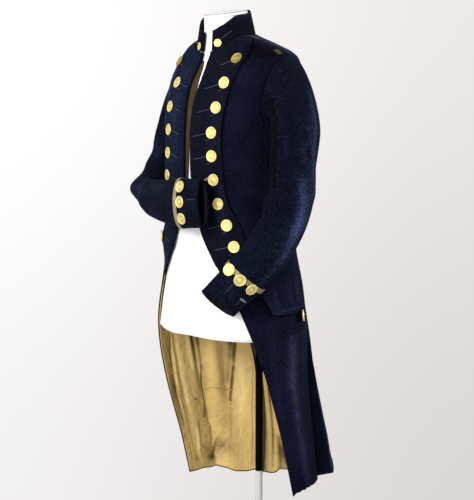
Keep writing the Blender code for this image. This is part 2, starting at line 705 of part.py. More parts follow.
def shoulder_loop(side, number, angle, climb):
    """A small loop of braid, sewn down flat across the shoulder."""
    name = SIDE_NAMES[side]
    places = [[(angle + turn, climb + rise)
               for turn in share_list(-LOOP_HALF_ANGLE, LOOP_HALF_ANGLE, 2)]
              for rise in share_list(-LOOP_HALF_CLIMB, LOOP_HALF_CLIMB, 3)]
    rows = laid_rows(sheets("front_" + name, "lapel_" + name), places, side,
                     LOOP_WALL + LOOP_EASE, level=True)
    return cloth("shoulder_loop_%s_%d" % (name, number), rows, LOOP_WALL, BRAID, flip=side < 0)


def neck_point(angle, height, size):
    """A point of the form's neck, whose top is tilted down to the front."""
    s, c = sin(radians(angle)), cos(radians(angle))
    depth = NECK_SIZES["front"] if c > 0 else NECK_SIZES["back"]
    y = -depth * c * size
    tilt = TOP_TILT if height > FORM_TOP - 0.010 else LOW_TILT
    return Vector((NECK_SIZES["half_width"] * s * size, NECK_CENTRE + y, height + tilt * y))


def form():
    """A smooth torso with closed shoulders and a neck."""
    rows = []

    def ring(climb, level=None):
        shoulder = min(max((climb - SHOULDER_START) / SHOULDER_RUN, 0.0), 1.0)
        shoulder *= FORM_CLEAR - SHOULDER_CLEAR
        row = []
        for i in range(FORM_SIDES):
            angle = 360.0 * i / FORM_SIDES
            side = 1 if angle <= 180 else -1
            turn = angle if side > 0 else 360 - angle
            clear = FORM_CLEAR - shoulder * sin(radians(turn)) ** 4
            point = plain_point(side, turn, climb, -clear)
            if level is not None:
                point.z = level
            row.append(point)
        return row

    rim = ring(FORM_CLIMBS[0], FORM_RIM)
    rows.append([Vector((p.x * RIM_SHARE, p.y * RIM_SHARE, p.z)) for p in rim])
    for climb in FORM_CLIMBS:
        rows.append(ring(climb))
    for height, size in NECK_RINGS:
        rows.append([neck_point(360.0 * i / FORM_SIDES, height, size) for i in range(FORM_SIDES)])
    mesh = bpy.data.meshes.new("form")
    work = bmesh.new()
    made = [[work.verts.new(p) for p in row] for row in rows]
    for lower, upper in zip(made, made[1:]):
        for i in range(FORM_SIDES):
            j = (i + 1) % FORM_SIDES
            work.faces.new((lower[i], lower[j], upper[j], upper[i]))
    work.faces.new(made[0][::-1])
    work.faces.new(made[-1])
    bmesh.ops.recalc_face_normals(work, faces=work.faces)
    work.to_mesh(mesh)
    work.free()
    mesh.shade_smooth()
    return add_object("form", mesh, PLASTER)


def stand():
    for name, radius, low, high, place, sides in (
            ("pole", POLE_RADIUS, BASE_HEIGHT + SEAM, FORM_RIM - SEAM, POLE_PLACE, 14),
            ("base", BASE_RADIUS, 0.0, BASE_HEIGHT, BASE_PLACE, 40)):
        mesh = bpy.data.meshes.new(name)
        work = bmesh.new()
        bmesh.ops.create_cone(work, cap_ends=True, segments=sides, radius1=radius, radius2=radius,
                              depth=high - low)
        work.to_mesh(mesh)
        work.free()
        made = add_object(name, mesh, IRON)
        made.location = (*place, (low + high) / 2)


for old in list(bpy.data.objects):
    bpy.data.objects.remove(old)
COLLECTION = bpy.data.collections.new("frock coat")
bpy.context.scene.collection.children.link(COLLECTION)
WOOL = material("navy wool", (0.012, 0.016, 0.042), 0.85)
LINEN = material("buff lining", (0.50, 0.37, 0.17), 0.80)
GILT = material("gilt brass", (0.85, 0.62, 0.20), 0.32, 1.0)
BRAID = material("gold braid", (0.30, 0.21, 0.06), 0.55, 0.4)
PLASTER = material("white form", (0.80, 0.79, 0.76), 0.60)
IRON = material("black iron", (0.02, 0.02, 0.022), 0.45, 0.6)

form()
stand()
collar()
large_button = button_mesh("large button", BUTTON_RADIUS)
small_button = button_mesh("small button", SMALL_BUTTON_RADIUS)
for each_side in (1, -1):
    front(each_side)
    back(each_side)
    lapel(each_side)
    linings(each_side)
    sleeve(each_side)
    cuff(each_side)
    braid(each_side)
    flap(each_side)
    buttons(each_side, large_button, small_button)
    for loop_number, loop_climb in enumerate(LOOP_CLIMBS, 1):
        shoulder_loop(each_side, loop_number, LOOP_ANGLE, loop_climb)
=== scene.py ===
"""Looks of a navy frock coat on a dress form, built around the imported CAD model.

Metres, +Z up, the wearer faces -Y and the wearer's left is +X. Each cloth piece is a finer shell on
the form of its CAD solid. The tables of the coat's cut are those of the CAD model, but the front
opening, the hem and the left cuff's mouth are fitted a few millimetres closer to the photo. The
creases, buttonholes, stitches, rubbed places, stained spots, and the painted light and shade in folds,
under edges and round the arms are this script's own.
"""
import json
from math import copysign, cos, degrees, exp, hypot, pi, radians, sin, sqrt

import bmesh
import bpy
from mathutils import Matrix, Vector
from mathutils.bvhtree import BVHTree

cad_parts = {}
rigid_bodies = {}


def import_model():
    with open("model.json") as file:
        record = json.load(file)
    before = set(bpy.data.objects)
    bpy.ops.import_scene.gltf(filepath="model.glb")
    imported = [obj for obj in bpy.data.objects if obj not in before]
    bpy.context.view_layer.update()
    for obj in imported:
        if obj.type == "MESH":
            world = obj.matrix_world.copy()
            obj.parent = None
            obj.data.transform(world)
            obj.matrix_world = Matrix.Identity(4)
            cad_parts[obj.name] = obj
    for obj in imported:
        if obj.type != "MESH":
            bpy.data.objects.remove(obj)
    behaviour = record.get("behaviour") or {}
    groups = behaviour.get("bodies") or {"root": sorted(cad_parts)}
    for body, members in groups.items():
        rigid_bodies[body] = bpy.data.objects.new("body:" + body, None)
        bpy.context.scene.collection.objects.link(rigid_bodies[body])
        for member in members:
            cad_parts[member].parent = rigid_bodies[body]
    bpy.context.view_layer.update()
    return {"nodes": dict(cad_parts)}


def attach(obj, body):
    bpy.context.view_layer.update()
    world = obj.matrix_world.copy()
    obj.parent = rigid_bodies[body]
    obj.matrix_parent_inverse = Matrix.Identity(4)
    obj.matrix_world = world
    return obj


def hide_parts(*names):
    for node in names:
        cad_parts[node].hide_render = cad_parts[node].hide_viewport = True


# Cloth and seams
WALL = 0.0022
LINING_WALL = 0.0012
COLLAR_WALL = 0.003
COLLAR_RISE = 0.0012
SEAM_OUTSIDE = 0.0001
LAID_ON = 0.0007
LAPEL_LAID_ON = 0.0012
LINING_LAID_ON = 0.001
SEATED = 0.0003
SEAT_REACH = 0.03       # how far above and below a piece its carrier is looked for
HEM = 0.42
HEM_REACH = 0.12        # how far up the cloth its uneven line is felt
NECK = 1.5

# Armhole, as an ellipse in angle and climb
ARM_ANGLE = 95
ARM_HALF_ANGLE = 30
ARM_LOW = 1.205
ARM_HIGH = 1.402
ARM_MIDDLE = (ARM_LOW + ARM_HIGH) / 2
ARM_HALF = (ARM_HIGH - ARM_LOW) / 2
ARM_GROWTH = 340        # degrees by which it widens for each metre that it grows

# Lapel, flap, cuff
LAPEL_FOOT = 0.95
LAPEL_SLANT = 0.056     # how much higher its foot lies at the front edge, and how soon that fades
LAPEL_FADE = 0.1
CUFF_LENGTH = 0.074
BRAID_WIDTH = 0.01
BRAID_WALL = 0.001
LOOP_WALL = 0.0014

# Form and stand
FORM_TOP = 1.489
NECK_SIZES = {"half_width": 0.05, "front": 0.048, "back": 0.04}
NECK_CENTRE = -0.02
NECK_SLOPE = 0.16       # rise of the form's flat top for each metre to the rear
# name, depth below the top, share of the neck's size, radius
NECK_HOOPS = (("neck_edge", 0.0022, 0.985, 0.0012), ("neck_cap", 0.0085, 1, 0.0006))

# One row for each section of the body, from the hem up. front and back are depths from centre_y.
SECTION_COLUMNS = ("climb", "half_width", "front", "back", "centre_y", "back_power",
                   "z_front", "z_side", "z_back")
TORSO_SECTIONS = (
    (0.98, 0.166, 0.127, 0.098, 0, 0.89, 0.98, 0.98, 0.98),
    (1.05, 0.162, 0.13, 0.098, 0, 0.89, 1.05, 1.05, 1.05),
    (1.15, 0.164, 0.133, 0.11, 0, 0.89, 1.15, 1.15, 1.15),
    (1.22, 0.166, 0.132, 0.117, 0, 0.89, 1.215, 1.22, 1.225),
    (1.29, 0.17, 0.126, 0.118, 0, 0.89, 1.275, 1.29, 1.295),
)
LEFT_SHOULDER_SECTIONS = (
    (1.35, 0.173, 0.114, 0.112, 0, 0.89, 1.325, 1.352, 1.35),
    (1.4, 0.169, 0.098, 0.096, -0.002, 0.89, 1.36, 1.392, 1.39),
    (1.45, 0.125, 0.078, 0.072, -0.01, 0.89, 1.382, 1.416, 1.42),
    (NECK, 0.066, 0.06, 0.055, -0.02, 0.89, 1.4, 1.434, 1.445),
)
RIGHT_SHOULDER_SECTIONS = (
    (1.35, 0.165, 0.114, 0.112, 0.002, 0.89, 1.325, 1.35, 1.35),
    (1.4, 0.149, 0.098, 0.096, 0.002, 0.89, 1.36, 1.388, 1.39),
    (1.45, 0.11, 0.078, 0.072, -0.008, 0.89, 1.382, 1.414, 1.42),
    (NECK, 0.066, 0.06, 0.055, -0.02, 0.89, 1.4, 1.434, 1.445),
)
LEFT_SKIRT_SECTIONS = (
    (HEM, 0.15, 0.036, 0.165, 0.08, 1.4, 0.38, 0.43, 0.48),
    (0.51, 0.158, 0.078, 0.16, 0.06, 1.3, 0.51, 0.51, 0.5),
    (0.67, 0.168, 0.122, 0.15, 0.02, 1.08, 0.67, 0.67, 0.665),
    (0.8, 0.186, 0.14, 0.132, 0, 0.93, 0.8, 0.8, 0.8),
    (0.9, 0.176, 0.132, 0.118, 0, 0.89, 0.9, 0.9, 0.9),
)
RIGHT_SKIRT_SECTIONS = (
    (HEM, 0.16, 0.214, 0.165, 0.075, 1.5, 0.42, 0.42, 0.404),
    (0.51, 0.165, 0.224, 0.16, 0.06, 1.35, 0.51, 0.51, 0.5),
    (0.67, 0.175, 0.192, 0.15, 0.02, 1.08, 0.67, 0.67, 0.665),
    (0.8, 0.186, 0.155, 0.132, 0, 0.93, 0.8, 0.8, 0.8),
    (0.9, 0.176, 0.14, 0.118, 0, 0.89, 0.9, 0.9, 0.9),
)
FRONT_POWER = 0.89

# Angles from the centre of the front, in degrees, for each climb.
EDGE_COLUMNS = ("climb", "left_edge", "right_edge", "left_lapel", "right_lapel",
                "left_seam", "right_seam")
EDGES = (
    (0.42, 60.5, 68.4, 78, 84, 127, 133),
    (0.49, 66, 68.7, 82, 84, 127, 137.5),
    (0.54, 68.4, 68, 82, 82, 127.5, 141),
    (0.62, 69.7, 65, 82, 80, 128, 146.5),
    (0.7, 66.9, 60.5, 80, 76, 128, 150),
    (0.75, 61.8, 56.5, 76, 72, 128, 149),
    (0.82, 53.3, 49.5, 70, 66, 127, 140),
    (0.9, 38.5, 39.5, 58, 58, 125, 128),
    (0.95, 26.4, 26.9, 53, 52, 122, 122),
    (1.006, 15.2, 15.2, 48.2, 44.5, 118, 118),
    (1.06, 9.2, 6.6, 41.2, 37.8, 113, 113),
    (1.1, 6.6, 2.6, 37.2, 34, 109, 109),
    (1.15, 4.6, 1.2, 34.9, 31.4, 103, 103),
    (1.205, 4.3, 1.2, 33.2, 29.4, 97.5, 97.5),
    (1.25, 3.8, 1.4, 32.4, 28.7, 95, 95),
    (1.3, 3.6, 2.2, 33.7, 28.2, 95, 95),
    (1.36, 5.8, 3.4, 37.2, 26.5, 95, 95),
    (1.4, 6.5, 3.2, 43, 36, 95, 95),
    (1.45, 8, 2.4, 64.6, 58, 95, 95),
    (NECK, 14.2, 3.8, 91, 88, 95, 95),
)

# Pleat at the side of each skirt
PLEAT_COLUMNS = ("climb", "depth", "left_spread", "right_spread")
PLEATS = (
    (0.42, 0.03, 0.033, 0.006),
    (0.53, 0.028, 0.028, 0.005),
    (0.67, 0.018, 0.016, 0.003),
    (0.78, 0.002, 0.006, 0.001),
    (0.86, 0, 0, 0),
    (0.94, 0, 0, 0),
    (1.6, 0, 0, 0),
)
PLEAT_ANGLE = 1.6
# Angles, and how far the hem lies above its plain line there, by side; True is behind the pleat
HEM_SHIFTS = {
    (1, False): ((60, 75, 85, 92, 100, 107, 115, 120, 127),
                 (0.003, 0.007, 0.011, 0.01, 0.007, 0.002, -0.004, -0.009, -0.012)),
    (1, True): ((126, 130, 135, 140, 150, 165, 179),
                (0.001, -0.005, -0.013, -0.018, -0.016, -0.01, -0.004)),
    (-1, False): ((66, 80, 92, 105, 116, 123, 128),
                  (0, 0, -0.006, -0.008, -0.015, -0.018, -0.012)),
    (-1, True): ((128, 134, 143, 147, 160, 179),
                 (-0.012, -0.017, -0.014, -0.003, 0, 0)),
}
VENT_ANGLE = 179
VENT_TOP = 0.88         # climb where the vent begins to close, and the climb over which it does
VENT_FADE = 0.06

# Sleeves, from the shoulder to the cuff's end
SLEEVE_COLUMNS = ("x", "y", "z", "side_half", "front_half", "turn")
LEFT_SLEEVE = (
    (0.19, 0, 1.352, 0.048, 0.064, 0),
    (0.211, -0.01, 1.27, 0.042, 0.06, 0),
    (0.216, -0.022, 1.17, 0.04, 0.056, 0),
    (0.217, -0.036, 1.085, 0.041, 0.055, 0),
    (0.209, -0.066, 1.018, 0.04, 0.053, 0),
    (0.184, -0.108, 0.955, 0.034, 0.05, 0),
    (0.14, -0.15, 0.892, 0.018, 0.049, 0),
)
RIGHT_SLEEVE = (
    (-0.18, 0.004, 1.35, 0.04, 0.058, 0),
    (-0.207, 0.008, 1.27, 0.033, 0.054, 0),
    (-0.208, -0.014, 1.18, 0.033, 0.051, 5),
    (-0.205, -0.056, 1.128, 0.033, 0.042, 20),
    (-0.176, -0.113, 1.102, 0.031, 0.027, 42),
    (-0.138, -0.137, 1.095, 0.023, 0.034, 56),
    (-0.095, -0.154, 1.087, 0.019, 0.041, 68),
    (0.008, -0.166, 1.084, 0.017, 0.049, 84),
    (0.098, -0.165, 1.09, 0.013, 0.048, 92),
)
HEAD_INSET = 0.0012
HEAD_INSET_ANGLE = 0.5
HEAD_SHARE = 0.24

# Large folds of the sleeves, as in the solids: share, angle, depth and both spreads
SLEEVE_FOLDS = {
    1: (
        (0.47, 90, -0.0075, 0.03, 70), (0.54, 95, 0.0035, 0.03, 60), (0.61, 100, -0.0045, 0.03, 55),
        (0.38, 80, -0.0035, 0.03, 50), (0.3, 20, -0.003, 0.035, 60),
    ),
    -1: (
        (0.52, -5, 0.006, 0.024, 30), (0.46, 95, -0.006, 0.035, 60), (0.6, 60, -0.004, 0.03, 50),
        (0.66, -10, 0.003, 0.03, 50), (0.34, 30, -0.003, 0.035, 60),
    ),
}

# Standing folds of the body's cloth, as in the solids: angle and climb of both ends, depth, spread
BODY_FOLDS = {
    1: (
        (88, 0.4, 92, 0.66, 0.0045, 9), (112, 0.4, 108, 0.62, -0.004, 8), (158, 0.4, 160, 0.7, -0.005, 9),
    ),
    -1: (
        (46, 0.978, 43, 0.992, 0.0095, 14), (92, 0.4, 96, 0.74, 0.0075, 8),
        (112, 0.4, 110, 0.7, -0.0065, 8), (160, 0.4, 158, 0.72, 0.006, 8),
    ),
}
FOLD_FADE = 0.03

# Angle and climb of the front corners, low and high, and of the rear ones
FLAP_CORNERS = ((75, 0.852), (57, 0.936), (108, 0.864), (107, 0.93))
FLAP_CELLS = 40
FLAP_ROWS = 20
FLAP_LIFT = 0.005
SIDE_NAMES = {1: "left", -1: "right"}

# Creases, given one by one. Each is a soft trough (depth below 0) or ridge between two places on the
# cloth, by angle and climb on the body, or angle and share of the length on a sleeve. A row has the
# first place, the second, the depth and the width.
BODY_CREASES = {
    1: (
        (62, 1.03, 88, 1.062, -0.0022, 0.01), (66, 1, 96, 1.022, 0.0016, 0.012),
        (58, 0.972, 90, 0.985, -0.0018, 0.009), (84, 1.11, 92, 1.19, -0.002, 0.012),
        (62, 1.25, 50, 1.185, -0.0018, 0.014), (64, 1.3, 46, 1.275, 0.0014, 0.016),
        (60, 1.36, 52, 1.31, -0.0014, 0.014), (80, 1.425, 62, 1.4, -0.0012, 0.012),
        (76, 0.85, 80, 0.56, -0.0018, 0.018), (103, 0.8, 100, 0.45, 0.0026, 0.016),
        (70, 0.76, 72, 0.5, 0.0014, 0.02), (96, 0.72, 94, 0.44, -0.0022, 0.012),
        (118, 0.76, 116, 0.47, -0.0016, 0.012), (140, 0.93, 168, 0.985, -0.0018, 0.012),
        (135, 1.01, 165, 0.96, 0.0014, 0.013), (140, 1.15, 150, 1.26, -0.0016, 0.016),
        (150, 0.86, 156, 0.5, -0.0024, 0.014), (138, 0.7, 141, 0.44, 0.0022, 0.015),
        (168, 0.78, 166, 0.47, 0.002, 0.013),
    ),
    -1: (
        (60, 1.02, 86, 1.055, -0.002, 0.01), (64, 0.99, 92, 1.01, 0.0016, 0.012),
        (86, 1.12, 92, 1.19, -0.002, 0.012), (60, 1.28, 44, 1.25, 0.0014, 0.016),
        (62, 1.33, 48, 1.29, -0.0015, 0.014), (84, 0.85, 88, 0.56, -0.002, 0.018),
        (104, 0.82, 100, 0.48, 0.0022, 0.016), (140, 0.94, 166, 0.975, -0.0018, 0.012),
        (136, 1, 160, 0.955, 0.0014, 0.013), (142, 1.16, 152, 1.27, -0.0016, 0.016),
        (170, 0.8, 168, 0.48, -0.0022, 0.014),
    ),
}
# Creases of the right tail's lining, seen from inside: below 0 they go away from the eye.
LINING_CREASES = {
    -1: (
        (130, 0.77, 118, 0.6, -0.005, 0.012), (148, 0.69, 135.5, 0.558, 0.0036, 0.004),
        (135.5, 0.558, 128.5, 0.43, 0.003, 0.004), (96, 0.76, 94, 0.62, -0.004, 0.008),
        (90, 0.77, 88.5, 0.6, 0.0036, 0.007), (72.5, 0.76, 73, 0.516, 0.003, 0.004),
        (77, 0.76, 77, 0.56, -0.0026, 0.006), (70, 0.72, 71, 0.54, -0.0026, 0.004),
        (110, 0.76, 106, 0.64, -0.0024, 0.012), (117, 0.77, 114, 0.66, 0.0026, 0.01),
        (86.5, 0.452, 99, 0.489, 0.0026, 0.0034), (92, 0.44, 113, 0.503, 0.003, 0.0036),
        (88.2, 0.511, 102.5, 0.535, 0.0022, 0.0034), (90, 0.468, 106, 0.509, 0.0028, 0.0034),
        (96, 0.44, 110, 0.476, 0.0024, 0.0036), (99, 0.52, 110, 0.545, 0.0018, 0.0034),
        (82, 0.52, 79.5, 0.45, 0.0022, 0.0034), (76, 0.5, 84, 0.462, 0.0016, 0.0034),
        (124, 0.56, 118, 0.44, -0.0016, 0.012), (153, 0.66, 142, 0.43, -0.005, 0.007),
        (158, 0.7, 150, 0.43, 0.005, 0.01), (168, 0.76, 164, 0.45, -0.004, 0.012),
    ),
    1: (
        (150, 0.78, 152, 0.44, 0.0055, 0.012), (166, 0.76, 166, 0.45, -0.0045, 0.012),
        (138, 0.76, 140, 0.45, -0.004, 0.01), (80, 0.78, 84, 0.47, 0.0035, 0.01),
        (95, 0.77, 98, 0.5, -0.0035, 0.012), (110, 0.76, 108, 0.47, 0.004, 0.01),
    ),
}
SLEEVE_CREASES = {
    1: (
        (60, 0.42, 120, 0.47, -0.006, 0.01), (40, 0.47, 110, 0.495, -0.0045, 0.008),
        (30, 0.52, 95, 0.535, 0.0032, 0.01), (55, 0.56, 118, 0.58, -0.0036, 0.009),
        (10, 0.4, 70, 0.35, -0.0028, 0.012), (-30, 0.44, 10, 0.52, 0.0036, 0.014),
        (-20, 0.56, 4, 0.7, 0.0034, 0.01), (12, 0.6, 20, 0.8, -0.0026, 0.01),
        (30, 0.17, 75, 0.24, -0.0032, 0.012), (70, 0.12, 105, 0.28, -0.0045, 0.012),
        (85, 0.22, 95, 0.36, 0.0034, 0.01), (20, 0.06, -20, 0.18, 0.0022, 0.016),
        (130, 0.28, 170, 0.36, -0.0034, 0.012), (-90, 0.3, -50, 0.38, -0.003, 0.014),
        (-100, 0.48, -60, 0.47, 0.004, 0.014), (-30, 0.26, -12, 0.4, -0.002, 0.012),
        (150, 0.52, 200, 0.54, -0.0034, 0.012), (45, 0.7, 80, 0.74, -0.0022, 0.01),
    ),
    -1: (
        (60, 0.43, 130, 0.46, -0.006, 0.01), (30, 0.56, 75, 0.6, -0.003, 0.009),
        (-10, 0.62, 30, 0.7, 0.0026, 0.01), (-30, 0.7, 12, 0.78, -0.0024, 0.01),
        (100, 0.2, 80, 0.34, -0.0036, 0.012), (60, 0.24, 40, 0.39, 0.003, 0.012),
        (120, 0.3, 105, 0.4, 0.0036, 0.012), (20, 0.76, 60, 0.84, 0.0018, 0.01),
        (10, 0.3, -30, 0.44, -0.0028, 0.014), (-90, 0.35, -50, 0.45, -0.003, 0.014),
        (150, 0.26, 190, 0.38, -0.003, 0.012), (-60, 0.6, -20, 0.64, 0.0024, 0.012),
    ),
}
NARROWEST_SHEET = 0.0101
BODY_DEGREE = 0.0025    # length of a degree round the body, to turn a crease's angles into lengths
LINING_DEGREE = 0.0028
SLEEVE_RADIUS = 0.048   # turns a crease's angles on a sleeve into lengths
SLEEVE_RUN = 0.58       # turns its shares of the length into lengths


def columns(names, rows):
    return {name: [row[i] for row in rows] for i, name in enumerate(names)}


def read(xs, ys, x):
    """Smooth curve through the rows of a table, read at x."""
    x = min(max(x, xs[0]), xs[-1])
    k = 0
    while k < len(xs) - 2 and x > xs[k + 1]:
        k += 1

    def slope(i):
        low, high = max(i - 1, 0), min(i + 1, len(xs) - 1)
        return (ys[high] - ys[low]) / (xs[high] - xs[low])

    step = xs[k + 1] - xs[k]
    t = (x - xs[k]) / step
    rise = ys[k] * (2 * t ** 3 - 3 * t * t + 1) + ys[k + 1] * (3 * t * t - 2 * t ** 3)
    return rise + step * (slope(k) * (t ** 3 - 2 * t * t + t) + slope(k + 1) * (t ** 3 - t * t))


SECTIONS = {
    1: columns(SECTION_COLUMNS, LEFT_SKIRT_SECTIONS + TORSO_SECTIONS + LEFT_SHOULDER_SECTIONS),
    -1: columns(SECTION_COLUMNS, RIGHT_SKIRT_SECTIONS + TORSO_SECTIONS + RIGHT_SHOULDER_SECTIONS),
}
EDGE_TABLE = columns(EDGE_COLUMNS, EDGES)
PLEAT_TABLE = columns(PLEAT_COLUMNS, PLEATS)
SECTION_CACHE = {}


def running(points):
    """Lengths from the first point to each of the others, along them."""
    lengths = [0]
    for a, b in zip(points, points[1:]):
        lengths.append(lengths[-1] + (a - b).length)
    return lengths


SLEEVES = {side: (columns(SLEEVE_COLUMNS, rows), running([Vector(row[:3]) for row in rows]))
           for side, rows in ((1, LEFT_SLEEVE), (-1, RIGHT_SLEEVE))}


def edge(name, climb):
    return read(EDGE_TABLE["climb"], EDGE_TABLE[name], climb)


def pleat(name, climb):
    return read(PLEAT_TABLE["climb"], PLEAT_TABLE[name], climb)


def section(side, climb):
    key = (side, round(climb, 6))
    if key not in SECTION_CACHE:
        table = SECTIONS[side]
        SECTION_CACHE[key] = [read(table["climb"], table[name], climb)
                              for name in SECTION_COLUMNS[1:]]
    return SECTION_CACHE[key]


def surface(side, angle, climb):
    half_width, front, back, centre_y, back_power, z_front, z_side, z_back = section(side, climb)
    s, c = sin(radians(angle)), cos(radians(angle))
    depth, power, z_end = (-front, FRONT_POWER, z_front) if c > 0 else (back, back_power, z_back)
    return Vector((side * copysign(half_width * abs(s) ** power, s),
                   centre_y + depth * abs(c) ** power, z_side + (z_end - z_side) * c * c))


def outward(side, angle, climb):
    around = surface(side, angle + 1, climb) - surface(side, angle - 1, climb)
    low, high = max(climb - 0.004, HEM), min(climb + 0.004, NECK)
    up = surface(side, angle, high) - surface(side, angle, low)
    return (around.cross(up) * side).normalized()


def body_fold(side, angle, climb):
    """How far the cloth stands out from its plain surface, as in the solids."""
    total = 0
    for low_angle, low, high_angle, high, depth, spread in BODY_FOLDS[side]:
        share = min(max((climb - low) / (high - low), 0), 1)
        beyond = max(low - climb, climb - high, 0)
        turn = angle - (low_angle + (high_angle - low_angle) * share)
        total += depth * exp(-(turn / spread) ** 2 - (beyond / FOLD_FADE) ** 2)
    return total


def crease_depth(table, x, y, x_unit=BODY_DEGREE, y_unit=1):
    """Depth of all the creases of a table at a place; the units turn its coordinates into metres."""
    total = 0
    for x0, y0, x1, y1, depth, width in table:
        ax, ay = (x1 - x0) * x_unit, (y1 - y0) * y_unit
        px, py = (x - x0) * x_unit, (y - y0) * y_unit
        length = hypot(ax, ay)
        along = (px * ax + py * ay) / length
        if -2.5 * width < along < length + 2.5 * width:
            across = (px * ay - py * ax) / length
            if abs(across) < 3 * width:
                t = min(max(along / length, 0), 1)
                beyond = max(-along, along - length, 0)
                swell = 0.55 + 0.45 * sin(pi * min(1, 0.12 + t * 0.88))
                total += depth * swell * exp(-(across / width) ** 2 - (beyond / width) ** 2)
    return total


def body_crease(side, angle, climb):
    reach = BODY_DEGREE * (1 if climb < 1.4 else 0.8)
    return crease_depth(BODY_CREASES[side], angle, climb, reach)


def body_point(side, angle, climb, out=0, creased=True):
    stand = out + body_fold(side, angle, climb)
    if creased:
        stand += body_crease(side, angle, climb)
    point = surface(side, angle, climb) + outward(side, angle, climb) * stand
    if climb < HEM + HEM_REACH:
        point.z += hem_shift(side, angle, out > 0.001) * (1 - (climb - HEM) / HEM_REACH)
    return point


def hem_shift(side, angle, behind):
    """How far the hem lies above its plain line."""
    uneven = 0.0012 * sin(angle * 0.21) + 0.0008 * sin(angle * 0.47 + 1)
    return uneven + read(*HEM_SHIFTS[side, behind], angle)


def share_list(start, end, cells):
    return [start + (end - start) * i / cells for i in range(cells + 1)]


def arm_half_angle(climb):
    return ARM_HALF_ANGLE * sqrt(max(0, 1 - ((climb - ARM_MIDDLE) / ARM_HALF) ** 2))


def lapel_slant(climb):
    return LAPEL_SLANT * exp(-((climb - LAPEL_FOOT) / LAPEL_FADE) ** 2)


def seam_angle(side, climb):
    reach = surface(side, ARM_ANGLE, climb).xy.length
    return degrees(SEAM_OUTSIDE / 2 / reach)


# Cells of the finer sheets
LAPEL_CELLS = 14
FRONT_CELLS = 44
BACK_CELLS = 30
ROW_STEP = 0.0076
CLOSEST_ROWS = 0.0008


def fine_climbs():
    """Even rows, and closer ones where the armhole begins and ends."""
    count = round((NECK - HEM) / ROW_STEP)
    climbs = share_list(HEM, NECK, count)
    climbs += [ARM_MIDDLE + ARM_HALF * cos(radians(a)) for a in (0, 9, 18, 27, 153, 162, 171, 180)]
    climbs += [LAPEL_FOOT]
    kept = []
    for climb in sorted(climbs):
        if not kept or climb - kept[-1] > CLOSEST_ROWS:
            kept.append(climb)
    return kept


CLIMBS = fine_climbs()


def front_row(side, climb):
    name = SIDE_NAMES[side]
    start, fold = edge(name + "_edge", climb), edge(name + "_lapel", climb)
    end = edge(name + "_seam", climb) - arm_half_angle(climb)
    slant = lapel_slant(climb)
    row = [(angle, climb + slant * i / LAPEL_CELLS, 0)
           for i, angle in enumerate(share_list(start, fold, LAPEL_CELLS))]
    for i, angle in enumerate(share_list(fold, end - PLEAT_ANGLE, FRONT_CELLS)[1:], 1):
        row.append((angle, climb + slant * (1 - i / FRONT_CELLS), 0))
    row.append((end - seam_angle(side, climb), climb, -pleat("depth", climb)))
    return row


def vent_share(climb):
    return min(max((climb - VENT_TOP) / VENT_FADE, 0), 1)


def back_row(side, climb):
    name = SIDE_NAMES[side]
    start = edge(name + "_seam", climb) + arm_half_angle(climb)
    spread = pleat(name + "_spread", climb)
    row = [(start + seam_angle(side, climb), climb, -pleat("depth", climb))]
    angles = share_list(start + PLEAT_ANGLE, VENT_ANGLE + 0.9 * vent_share(climb), BACK_CELLS)
    row += [(angle, climb, spread) for angle in angles]
    return row


def new_object(name, data):
    made = bpy.data.objects.new(name, data)
    bpy.context.scene.collection.objects.link(made)
    return made


def mesh_of(work, name):
    mesh = bpy.data.meshes.new(name)
    work.to_mesh(mesh)
    work.free()
    mesh.shade_smooth()
    return mesh


def grid_object(name, rows, round_about=False, flip=False):
    """A sheet of quads through rows of points, with a UV map in metres along and up the cloth."""
    work = bmesh.new()
    uv = work.loops.layers.uv.new("cloth")
    made = [[work.verts.new(p) for p in row] for row in rows]
    count = len(rows[0])
    middle = rows[len(rows) // 2]
    across = running(middle + middle[:1])
    heights = running([row[count // 3] for row in rows])
    for r, (lower, upper) in enumerate(zip(made, made[1:])):
        for i in range(count if round_about else count - 1):
            j = (i + 1) % count
            face = [lower[i], lower[j], upper[j], upper[i]]
            places = [(across[i], heights[r]), (across[i + 1], heights[r]),
                      (across[i + 1], heights[r + 1]), (across[i], heights[r + 1])]
            if flip:
                face, places = face[::-1], places[::-1]
            for loop, place in zip(work.faces.new(face).loops, places):
                loop[uv].uv = place
    return new_object(name, mesh_of(work, name))


def apply_modifiers(piece):
    graph = bpy.context.evaluated_depsgraph_get()
    mesh = bpy.data.meshes.new_from_object(piece.evaluated_get(graph))
    piece.modifiers.clear()
    old = piece.data
    piece.data = mesh
    bpy.data.meshes.remove(old)
    mesh.name = piece.name
    mesh.shade_smooth()


def thicken(piece, thickness, outer, inner, rounding):
    """Gives the sheet its wall, with rounded edges; inner is the finish of the other face."""
    for finish in (outer, inner or outer):
        piece.data.materials.append(finish)
    wall = piece.modifiers.new("wall", "SOLIDIFY")
    wall.thickness = thickness
    wall.offset = -1
    wall.material_offset = 1
    wall.material_offset_rim = 0
    if rounding:
        bevel = piece.modifiers.new("edge", "BEVEL")
        bevel.limit_method = "ANGLE"
        bevel.angle_limit = radians(55)
        bevel.width = rounding
        bevel.segments = 2
    apply_modifiers(piece)


def finish_piece(piece, nodes=()):
    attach(piece, "root")
    if nodes:
        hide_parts(*nodes)


def declare_cloth(rows, round_about):
    """Works out the width and length of the cut along the cloth, and does nothing more with them."""
    width = max(running(row + row[:1] if round_about else row)[-1] for row in rows)
    length = max(running([row[k] for row in rows])[-1] for k in range(0, len(rows[0]), 3))
    width, length = max(width, NARROWEST_SHEET), max(length, NARROWEST_SHEET)


